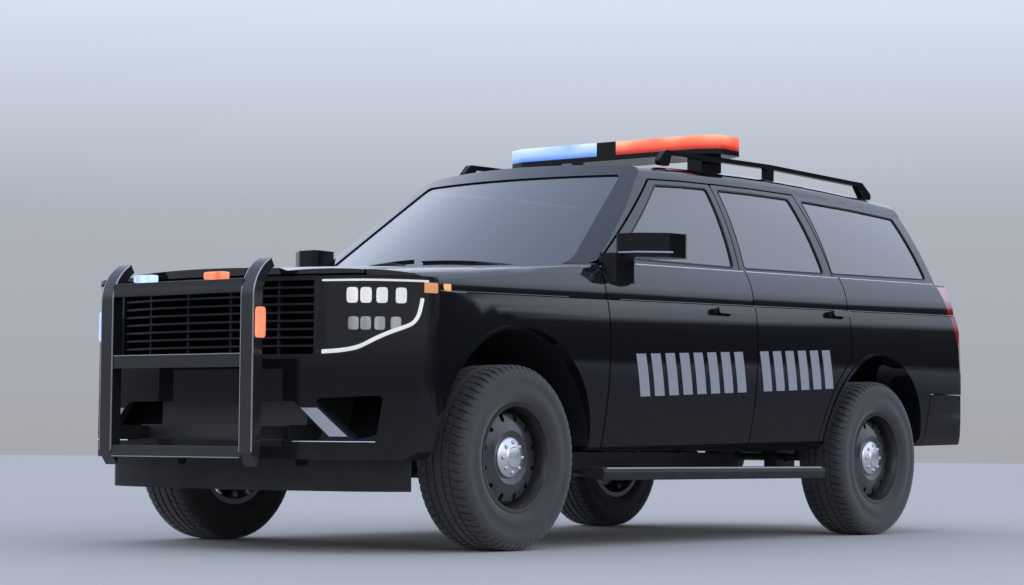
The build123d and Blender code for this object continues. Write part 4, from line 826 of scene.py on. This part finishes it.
# %% [markdown]
# ## Light bar and push bumper
#
# The lenses of the roof bar are hollow covers over rows of diode modules. The modules are rounded
# blocks in a row, lit from inside, and a clear pair sits beside the divider in the middle.

# %% Light bar
blue_low, blue_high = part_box("lens_blue")
red_low, red_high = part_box("lens_red")
bar_z = (blue_low.z + blue_high.z) / 2
front_y, rear_y = blue_low.y + 0.045, blue_high.y - 0.045


def modules(x_from, x_to, count, y):
    """Blocks side by side between two widths, each a little narrower than its share."""
    middles, share = shares(x_from, x_to, count)
    return [pebble((x, y, bar_z), (share * 0.42, 0.012, 0.022), 6, 12, 24) for x in middles]


for name, low, high, glow in (
    ("bar_modules_blue", blue_low.x + 0.14, blue_high.x - 0.13, blue_glow),
    ("bar_modules_red", red_low.x + 0.13, red_high.x - 0.14, red_glow),
):
    piece(name, modules(low, high, 4, front_y) + modules(low, high, 4, rear_y), glow, "body")
clear_pair = modules(blue_high.x - 0.12, blue_high.x - 0.01, 2, front_y)
piece("bar_modules_clear", pair(clear_pair), white_glow, "body")

# %% [markdown]
# Each side of the push bumper has a flat lamp near the top and a tall one outside its upright.
# They stand for the frame's plain blocks, with soft corners as moulded lenses have.

# %% Push-bumper lamps
# half width, height, half sizes
TOP_LAMP = (0.215, 1.1675, (0.060, 0.0225, 0.0165))
EDGE_LAMP = (0.4753, 0.965, (0.0128, 0.0215, 0.0645))
for node, glow, name in (
    ("push_lamps_blue", blue_glow, "bumper_lamps_blue"),
    ("push_lamps_red", red_glow, "bumper_lamps_red"),
):
    low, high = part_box(node)
    side = 1.0 if high.x > 0.3 else -1.0
    y = (low.y + high.y) / 2
    lamps = [pebble((side * x, y, z), half, 7, 16, 40) for x, z, half in (TOP_LAMP, EDGE_LAMP)]
    piece(name, lamps, glow, "body", (node,))

# %% [markdown]
# The push bumper's edges catch the light as thin pale lines. A texture would need the bars unwrapped, so
# each line is a thin pale bead, a painted highlight. On an upright it is a straight line and then an arc,
# whose points are centre + radius * (cos, sin) of an even angle.

# %% Edge highlights
# stations, and for the centre of the heads its height too
BAR_FACE = -1.0893
UPRIGHT_FACE = -1.0925
HEAD_CENTRE = (-0.9053, 1.070)
HEAD_RADIUS = 0.1875


def upright_edge(x):
    """The front edge of an upright, from its foot to the tip of its curved head."""
    angle = np.radians(np.linspace(177, 119, 24))
    head = HEAD_CENTRE + HEAD_RADIUS * np.stack([np.cos(angle), np.sin(angle)], axis=1)
    stem = np.stack([np.full(30, UPRIGHT_FACE), np.linspace(0.425, 1.072, 30)], axis=1)
    return placed(x, *np.concatenate([stem, head]).T)


# beads of painted highlight down the uprights' front edges, then along the tops of the bars
highlight_beads = [sweep(upright_edge(x), ring(8, 0.0030, 0.0030), up=(1, 0, 0)) for x in (0.3905, 0.4595)]
for z in (0.8355, 0.4005):
    edge = placed(np.linspace(0, 0.384, 30), BAR_FACE, z)
    highlight_beads.append(sweep(edge, ring(8, 0.0042, 0.0018)))
piece("bumper_edge_highlights", pair(highlight_beads), painted_edge_highlight, "body")

# %% [markdown]
# A dark shroud behind the grille leads its air to the radiator. It is a sheet that follows the nose, and
# keeps the engine bay from showing between the bars. Its flat black with no reflection is painted shade, the
# dark of the recess behind the bars.

# %% Grille shroud
shroud_x, shroud_z = np.meshgrid(np.linspace(-0.600, 0.600, 40), np.linspace(0.700, 1.100, 8), indexing="ij")
shroud = skin(placed(shroud_x, nose(shroud_x, 0.105), shroud_z), 0.004, (0, -1, 0))
piece("grille_shroud", shroud, shadow_line, "body")

# %% [markdown]
# ## Glass seals and wipers
#
# Rubber seals run round every side window, on the cabin's own surface: the same arcs, turned
# about one far axis. The wipers lie at the foot of the windscreen, which is part of a round column.

# %% Cabin and windscreen surfaces
HOUSE = circle_through((0.927, 1.150), (0.8335, 1.540), (0.706, 1.795))
ROOF_RADIUS = 20.0
ROOF_CROWN = (2.600, 1.898 - ROOF_RADIUS)
SCREEN_RADIUS = 3.0
SCREEN_FOOT = (0.450, 1.275)
SCREEN_SLOPE = (0.760, 0.525)


def cabin_side(station, z):
    """Half width of the cabin: the side's arc, taken at the height that this point has when it is
    turned about the roof's far axis back to the crown's station."""
    level = ROOF_CROWN[1] + np.hypot(np.asarray(station) - ROOF_CROWN[0], np.asarray(z) - ROOF_CROWN[1])
    centre, radius = HOUSE
    return centre[0] + np.sqrt(np.maximum(radius**2 - (level - centre[1]) ** 2, 0))


def on_screen(x, t, lift):
    """A point of the windscreen: t up along its slope from the foot, x across, lifted off it. The
    screen falls back from its middle by radius - sqrt(radius^2 - x^2)."""
    x = np.asarray(x, float)
    ahead, up = np.array(SCREEN_SLOPE) / math.hypot(*SCREEN_SLOPE)
    back = SCREEN_RADIUS - lift - np.sqrt(SCREEN_RADIUS**2 - x**2)
    return placed(x, SCREEN_FOOT[0] + ahead * t + up * back, SCREEN_FOOT[1] + up * t - ahead * back)


def rounded(corners, radius, count):
    """A closed outline with soft corners: each is a quadratic curve between the points where a
    circle of that radius would touch its two edges."""
    p = np.asarray(corners, float)
    to_last, to_next = np.roll(p, 1, axis=0) - p, np.roll(p, -1, axis=0) - p
    to_last /= np.linalg.norm(to_last, axis=1, keepdims=True)
    to_next /= np.linalg.norm(to_next, axis=1, keepdims=True)
    half = np.arccos(np.clip((to_last * to_next).sum(1), -1, 1)) / 2
    reach = (radius / np.tan(half))[:, None, None]
    t = np.linspace(0, 1, 9)[None, :, None]
    bend = p[:, None] + reach * ((1 - t) ** 2 * to_last[:, None] + t**2 * to_next[:, None])
    flat = np.concatenate([bend.reshape(-1, 2), np.zeros((len(p) * 9, 1))], axis=1)
    return evened(flat, count, closed=True)[:, :2]


print("half width of the cabin at the front window:", round(float(cabin_side(1.4, 1.5)), 4))

# %% [markdown]
# Each seal is a soft-cornered outline in station and height, put on the cabin's surface and swept
# with a small section. The seals of windows in doors ride on the doors.

# %% Window seals
SIDES = ((1, "left"), (-1, "right"))


def carrier(panel, word):
    """The body that a panel's trim rides on: a door, or the shell."""
    return f"{panel}_{word}_door" if panel in ("front", "rear") else "body"


# station, height
WINDOWS = {
    "front": [(0.905, 1.342), (1.436, 1.738), (1.660, 1.750), (1.883, 1.757), (1.883, 1.352)],
    "rear": [(1.979, 1.354), (1.979, 1.758), (2.300, 1.765), (2.652, 1.767), (2.748, 1.372)],
    "quarter": [(2.832, 1.376), (2.776, 1.766), (3.300, 1.760), (3.762, 1.744), (3.880, 1.404)],
}
for name, corners in WINDOWS.items():
    outline = rounded(corners, 0.022, 220)
    for side, word in SIDES:
        path = placed(side * (cabin_side(*outline.T) - 0.004), *outline.T)
        strip = sweep(path, ring(8, 0.0055, 0.0055, 3), up=(side, 0, 0.4), closed=True)
        piece(f"seal_{name}_{word}", [strip], seal, carrier(name, word))

# %% [markdown]
# Two wipers park side by side along the foot of the screen. The blade lies on the glass under its
# bridge, and the arm bows off the glass on its way from the pivot.

# %% Wipers
def wiper(pivot_x, tip_x):
    """Blade, bridge and arm, each a small section carried along a path on the windscreen. The arm
    climbs as the sine of a quarter turn and bows as the sine of a half turn."""
    blade_x = np.linspace(pivot_x - 0.04, tip_x, 40)
    climb = 0.070 + 0.03 * (blade_x - tip_x)
    middle = (pivot_x - 0.04 + tip_x) / 2
    half_turn = np.linspace(0, np.pi, 30)
    arm_x = np.linspace(pivot_x, middle, 30)
    arm = on_screen(arm_x, 0.018 + 0.052 * np.sin(half_turn / 2), 0.014 + 0.014 * np.sin(half_turn))
    return [
        sweep(on_screen(blade_x, climb, 0.008), ring(10, 0.003, 0.009)),
        sweep(on_screen(blade_x, climb, 0.018), ring(10, 0.008, 0.004, 3)),
        sweep(arm, ring(10, 0.008, 0.005, 3), scale=np.linspace(1.2, 0.8, 30)),
        pebble(on_screen(pivot_x, 0.018, 0.010), (0.018, 0.018, 0.016), 3, 10, 20),
    ]


piece("wipers", wiper(0.70, 0.03) + wiper(0.0, -0.66), plastic, "body")

# %% [markdown]
# ## Silver band
#
# The doors carry a band of slanted silver bars, film laid on the paint. An image could show them,
# but a thin patch on the flank's own arcs keeps crisp edges at any distance.

# %% Silver bars
BAND_FROM = 0.89
BAND_FOOT = 0.690
BAND_RISE = 0.0435
BAND_HEIGHT = 0.200
BAR_PITCH = 0.1175
BAR_WIDTH = 0.078
BAR_SLANT = 0.055


def band_bar(station, side):
    """A parallelogram on the flank: its foot follows the band's rise, its top leans forward."""
    u = np.linspace(0, 1, 8)[:, None]
    v = np.linspace(0, 1, 14)[None, :]
    at = station + u * BAR_WIDTH - v * BAR_SLANT
    z = BAND_FOOT + BAND_RISE * (at - BAND_FROM) + v * BAND_HEIGHT
    return skin(placed(side * (flank(at, z) + 0.0004), at, z), 0.0003, (side, 0, 0))


for side, word in SIDES:
    for door, first, count in (("front", 0.945, 8), ("rear", 2.002, 6)):
        bars = [patch for i in range(count) for patch in band_bar(first + i * BAR_PITCH, side)]
        piece(f"band_{door}_{word}", bars, silver, carrier(door, word))

# %% [markdown]
# ## Trim along the sides
#
# A pressed groove runs from the front wheel to the tail, just under the shoulder. It looks dark
# because it faces the ground, so a thin dark strip follows it on each panel and rides with it.

# %% Side groove
GROOVE_LEVEL = 1.153
# name of a panel, first and last station
GROOVES = (
    ("fender", -0.330, 0.674), ("front", 0.702, 1.917), ("rear", 1.945, 2.822), ("quarter", 2.850, 3.980),
)


def groove_path(first, last, side):
    """Points along the crease: the section's own level, turned forward by the rake."""
    at = np.linspace(first, last, 80)
    z = BELT_Z + (GROOVE_LEVEL - BELT_Z + (DATUM + at) * math.sin(RAKE)) / math.cos(RAKE)
    return placed(side * (flank(at, z) + 0.0006), at, z)


for side, word in SIDES:
    for name, first, last in GROOVES:
        strip = sweep(groove_path(first, last, side), ring(8, 0.0010, 0.0055, 3), up=(side, 0, 0.0001))
        piece(f"groove_{name}_{word}", [strip], shadow_line, carrier(name, word))

# %% [markdown]
# A bright strip lies on the ledge at the foot of the side windows: a painted highlight, bright metal where
# the sky gleams on the shoulder's edge. It catches the sky, and draws the belt line between black paint and
# black glass.

# %% Belt highlight
BELT_HALF_WIDTH = 0.9165
# name of a panel, first and last station
BELTS = (("front", 0.800, 1.920), ("rear", 1.942, 2.824), ("quarter", 2.848, 3.850))
# each strip is painted highlight: bright metal standing for the sky's gleam on the shoulder's edge
for side, word in SIDES:
    for name, first, last in BELTS:
        at = np.linspace(first, last, 60)
        ledge = BELT_Z + (DATUM + at) * math.tan(RAKE) + 0.002
        strip = sweep(placed(side * BELT_HALF_WIDTH, at, ledge), ring(10, 0.0085, 0.0050, 3))
        piece(f"belt_{name}_{word}", [strip], bright, carrier(name, word))

# %% [markdown]
# Boots wear a running board's edge bright, and ribs on its top give grip. Both are straight
# sections, a little shorter than the board.

# %% Running boards
board_low, board_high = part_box("running_boards")
board_run = np.linspace(board_low.y + 0.03, board_high.y - 0.03, 60) - DATUM
ribs = [sweep(placed(x, board_run, 0.3625), ring(8, 0.0035, 0.0020)) for x in np.linspace(0.884, 0.978, 7)]
piece("board_ribs", pair(ribs), plastic, "body")
worn_lip = sweep(placed(0.9965, board_run, 0.3600), ring(10, 0.0060, 0.0040, 3))
piece("board_edges", pair([worn_lip]), bright, "body")

# %% [markdown]
# ## Door mirrors
#
# Each head holds mirror glass that faces rearward, a flat block turned to the head's own rear
# edge. A thin light line runs along the front of its cover.

# %% Mirrors
# half width, station
MIRROR_PLAN = [(0.938, 0.796), (1.060, 0.806), (1.176, 0.900), (1.196, 1.010), (1.172, 1.062), (0.956, 0.958)]
MIRROR_EDGE = np.array(MIRROR_PLAN[4]) - MIRROR_PLAN[5]
MIRROR_BACK = (np.array(MIRROR_PLAN[4]) + MIRROR_PLAN[5]) / 2
MIRROR_TURN = math.atan2(MIRROR_EDGE[1], MIRROR_EDGE[0])
MIRROR_Z = 1.390
STRIPE_Z = 1.357


def swung(patch, centre, angle):
    """A patch turned about an upright line through a centre."""
    points, faces = patch
    c, s = math.cos(angle), math.sin(angle)
    x, y, z = (points - centre).T
    return np.stack([c * x - s * y, s * x + c * y, z], axis=1) + centre, faces


mirror_glass = Finish("mirror_glass", (0.75, 0.77, 0.80), 0.03, metallic=1.0)
mirror_glass.uneven(0.02, 0.02, 12.0)
mirror_mid = placed(MIRROR_BACK[0], MIRROR_BACK[1] - 0.0008, MIRROR_Z)
mirror = swung(pebble(mirror_mid, (0.096, 0.0035, 0.045), 5, 12, 48), mirror_mid, MIRROR_TURN)
plan = rounded(MIRROR_PLAN, 0.024, 240)
front = plan[(plan[:, 1] < 0.930) & (plan[:, 0] > 0.962)]
front = front[np.argsort(front[:, 0])]
line = placed(front[:, 0], front[:, 1] - 0.0004, STRIPE_Z)
stripe = sweep(evened(line, 60), ring(8, 0.0024, 0.0042, 3))
for word, turn in (("left", lambda patch: patch), ("right", flipped)):
    piece(f"mirror_pane_{word}", [turn(mirror)], mirror_glass, f"front_{word}_door")
    piece(f"mirror_stripe_{word}", [turn(stripe)], silver, f"front_{word}_door")

# %% [markdown]
# ## Tail and underside
#
# The liftgate carries a blank plate and a pull. Both are rounded blocks, set on points of the
# gate's centre line, which leans a little forward below the glass.

# %% Liftgate pieces
# station and height of two points of the face's centre line
GATE_FOOT = (4.264, 0.960)
GATE_TOP = (4.150, 1.372)


def on_gate(z, off):
    """A point of the gate's centre line, set off rearward: the line runs straight from the foot
    of the face to its top."""
    share = (z - GATE_FOOT[1]) / (GATE_TOP[1] - GATE_FOOT[1])
    return placed(0.0, GATE_FOOT[0] + (GATE_TOP[0] - GATE_FOOT[0]) * share + off, z)


plate = pebble(on_gate(1.020, 0.0), (0.160, 0.007, 0.080), 9, 16, 48)
piece("blank_plate", [plate], silver, "tailgate")
pull = pebble(on_gate(1.150, 0.004), (0.215, 0.016, 0.024), 6, 16, 48)
piece("gate_pull", [pull], gloss_trim, "tailgate")

# %% [markdown]
# Each wheel has a coil spring round a damper. The coil is a round wire carried along a helix, and
# the damper a tube that steps down to its rod a little above the middle.

# %% Springs and dampers
COIL_TURNS = 5.5
COIL_RADIUS = 0.062
SPRING_X = 0.575
SPRING_FOOT = 0.342
SPRING_RISE = np.array([0.0, 0.0, 0.216])
turns = np.linspace(0, COIL_TURNS, 200)
angle = 2 * np.pi * turns
circle = COIL_RADIUS * np.stack([np.cos(angle), np.sin(angle), np.zeros(200)], axis=1)
tube_then_rod = np.where(np.arange(24) < 13, 1.0, 0.45)
for corner, (side, station) in CORNERS.items():
    foot = placed(side * SPRING_X, station, SPRING_FOOT)
    helix = foot + SPRING_RISE * (turns / COIL_TURNS)[:, None] + circle
    axis = np.linspace(foot, foot + SPRING_RISE, 24)
    damper = sweep(axis, ring(16, 0.027, 0.027), up=(0, 1, 0), scale=tube_then_rod)
    piece(f"spring_{corner}", [sweep(helix, ring(10, 0.0065, 0.0065)), damper], steel, "body")

# %% [markdown]
# ## Seats
#
# Seats are foam under woven cloth: a rounded block whose top is crowned, with raised bolsters at
# its sides and sewn channels across it. They show through the glass and the open doors.

# %% Cushions
def cushion(centre, half, tilt, channels, bolster):
    """A rounded block in its own axes, long side x. The top rises by a crown of 1 - x^2 and by the
    bolsters as x^6, and each channel sinks as exp(-(d / w)^2). Then it is tilted about x."""
    points, faces = pebble((0, 0, 0), (1, 1, 1), 4.5, 34, 64)
    x, y, z = points.T
    face = np.clip(z, 0, 1) ** 2
    across = sum(np.exp(-(((y - line) / 0.035) ** 2)) for line in np.linspace(-0.6, 0.6, channels))
    sunk = across + np.exp(-(((np.abs(x) - 0.62) / 0.03) ** 2))
    lift = face * (0.010 * (1 - x**2) + bolster * np.abs(x) ** 6 - 0.006 * sunk)
    x, y, z = x * half[0], y * half[1], z * half[2] + lift - 0.012 * face
    c, s = math.cos(tilt), math.sin(tilt)
    return np.stack([x, y * c - z * s, y * s + z * c], axis=1) + centre, faces


BASE_TILT = math.radians(3)
BACK_TILT = math.radians(90 + 13)
# name, node it stands for, half width, station, height, half sizes, tilt, channels, bolster
SEATS = (
    ("seat_base", "front_seats", (0.400, 1.395, 0.715), (0.247, 0.262, 0.082), BASE_TILT, 3, 0.018),
    ("seat_back", "front_seats", (0.400, 1.742, 1.108), (0.237, 0.315, 0.070), BACK_TILT, 3, 0.018),
    ("head_rest", "front_seats", (0.400, 1.848, 1.515), (0.128, 0.092, 0.042), BACK_TILT, 1, 0.004),
    ("bench_base", "rear_seat", (0.309, 2.320, 0.778), (0.305, 0.236, 0.080), BASE_TILT, 3, 0.018),
    ("bench_back", "rear_seat", (0.309, 2.630, 1.138), (0.305, 0.290, 0.068), BACK_TILT, 3, 0.018),
)
for side, word in SIDES:
    for name, node, (x, station, z), half, *form in SEATS:
        pad = cushion(placed(side * x, station, z), half, *form)
        made = piece(f"{name}_{word}", [pad], cloth, "body", (node,), 60)

# %% [markdown]
# The front seats stand on plinths and the bench on one long foot. They are hard plastic, so plain
# rounded blocks are enough.

# %% Seat feet
for side, word in SIDES:
    plinth = pebble(placed(side * 0.400, 1.390, 0.560), (0.196, 0.205, 0.078), 8)
    piece(f"seat_plinth_{word}", [plinth], grey_trim, "body")
bench_foot = pebble(placed(0, 2.255, 0.590), (0.556, 0.132, 0.108), 8)
piece("bench_foot", [bench_foot], grey_trim, "body")

# %% [markdown]
# ## Studio
#
# The floor is plain and pale, and no part of the car.

# %% Floor
floor_finish = Finish("floor", (0.50, 0.475, 0.44), 0.9)
floor_finish.uneven(0.85, 0.1, 2.0)
FLOOR_RADIUS = 60
JUST_BELOW = (0, 0, -0.0005)
bpy.ops.mesh.primitive_circle_add(vertices=96, radius=FLOOR_RADIUS, fill_type="NGON", location=JUST_BELOW)
floor = bpy.context.object
floor.name = "floor"
floor.data.materials.append(floor_finish.material)
print("floor radius:", FLOOR_RADIUS, "m")

# %% [markdown]
# Black paint shows what stands round it, so the sky is most of the light. It is a ramp over height,
# dim at the ground and brightest 15 to 30 degrees up. A photographed sky would do, but a ramp can
# be tuned: beside the car it is dark near the ground, as a studio's black flag makes it, so that
# the paint shows a dark door under a light shoulder.

# %% Sky
# height of the direction, colour
SKY = (
    (0.0, (0.38, 0.39, 0.42)), (0.09, (0.42, 0.45, 0.50)), (0.17, (0.68, 0.75, 0.87)),
    (0.28, (1.06, 1.19, 1.47)), (0.50, (1.04, 1.17, 1.46)), (0.72, (0.74, 0.87, 1.18)),
    (1.0, (0.55, 0.67, 0.94)),
)
FLAG_TOWARDS = (0.64, 0.77, 0.0)
FLAG_SHADE = 0.9
world = bpy.data.worlds.new("sky")
bpy.context.scene.world = world
world.use_nodes = True
sky = Board(world.node_tree)
direction = sky.node("ShaderNodeTexCoord", out="Generated")
upward = sky.node("ShaderNodeSeparateXYZ", inputs={0: direction}, out="Z")
flagward = sky.node(
    "ShaderNodeVectorMath", {"operation": "DOT_PRODUCT"}, {0: direction, 1: FLAG_TOWARDS}, out="Value"
)
# the flag fades out to its sides, with height and below the horizon: each runs from 0 to 1
beside = ((flagward - 0.77) * 6.0).limit()
low = ((0.185 - upward) * 26.0).limit()
above_ground = ((upward + 0.02) * 50.0).limit()
background = world.node_tree.nodes["Background"]
sky.join(background.inputs["Color"], sky.node("ShaderNodeValToRGB", {"stops": SKY}, {0: upward}))
sky.join(background.inputs["Strength"], 1.0 - beside * low * above_ground * FLAG_SHADE)
print("sky:", len(SKY), "colours over height")

# %% [markdown]
# One wide soft lamp ahead on the left, faint beside the sky, gives the edges a light side.

# %% Lamp
def stand(made, at, right, above, back):
    """Links an object and stands it at a point, its own x, y and z along three directions."""
    place = np.eye(4)
    place[:3] = np.stack([right, above, back, at], axis=1)
    bpy.context.scene.collection.objects.link(made)
    made.matrix_world = Matrix(place.tolist())


LAMP_AT = np.array([9.0, -3.0, 6.0])
LAMP_AIM = np.array([0.0, -0.8, 0.8])
lamp_data = bpy.data.lights.new("front_left", "AREA")
lamp_data.size = 5.0
lamp_data.energy = 70
back = (LAMP_AT - LAMP_AIM) / np.linalg.norm(LAMP_AT - LAMP_AIM)
right = np.cross((0.0, 0.0, 1.0), back)
right /= np.linalg.norm(right)
stand(bpy.data.objects.new("front_left", lamp_data), LAMP_AT, right, np.cross(back, right), back)
print("lamp at", LAMP_AT)

# %% [markdown]
# The camera stands where the photographer stood, low and ahead on the car's left. Its place and
# angles come from a pinhole camera fitted to points of the car in the photograph.

# %% Camera
CAMERA_AT = np.array([7.803, -10.2655, 0.474])
azimuth, pitch, roll = np.radians((38.29, 3.4, 0.51))
ahead = np.array([-math.sin(azimuth) * math.cos(pitch), math.cos(azimuth) * math.cos(pitch), math.sin(pitch)])
level = np.array([math.cos(azimuth), math.sin(azimuth), 0.0])
above = np.cross(level, ahead)
camera_data = bpy.data.cameras.new("camera")
camera_data.lens = 88.7
camera_data.sensor_width = 36
camera_data.clip_end = 300
camera = bpy.data.objects.new("camera", camera_data)
stand(
    camera, CAMERA_AT, level * math.cos(roll) + above * math.sin(roll),
    above * math.cos(roll) - level * math.sin(roll), -ahead,
)
bpy.context.scene.camera = camera
bpy.context.scene.view_settings.view_transform = "Standard"
print("camera at", CAMERA_AT, "with a lens of", camera_data.lens, "mm")

# %% [markdown]
# ## The last line
#
# The view layer is updated once more, so every object stands where it was put.

# %% Finish
bpy.context.view_layer.update()
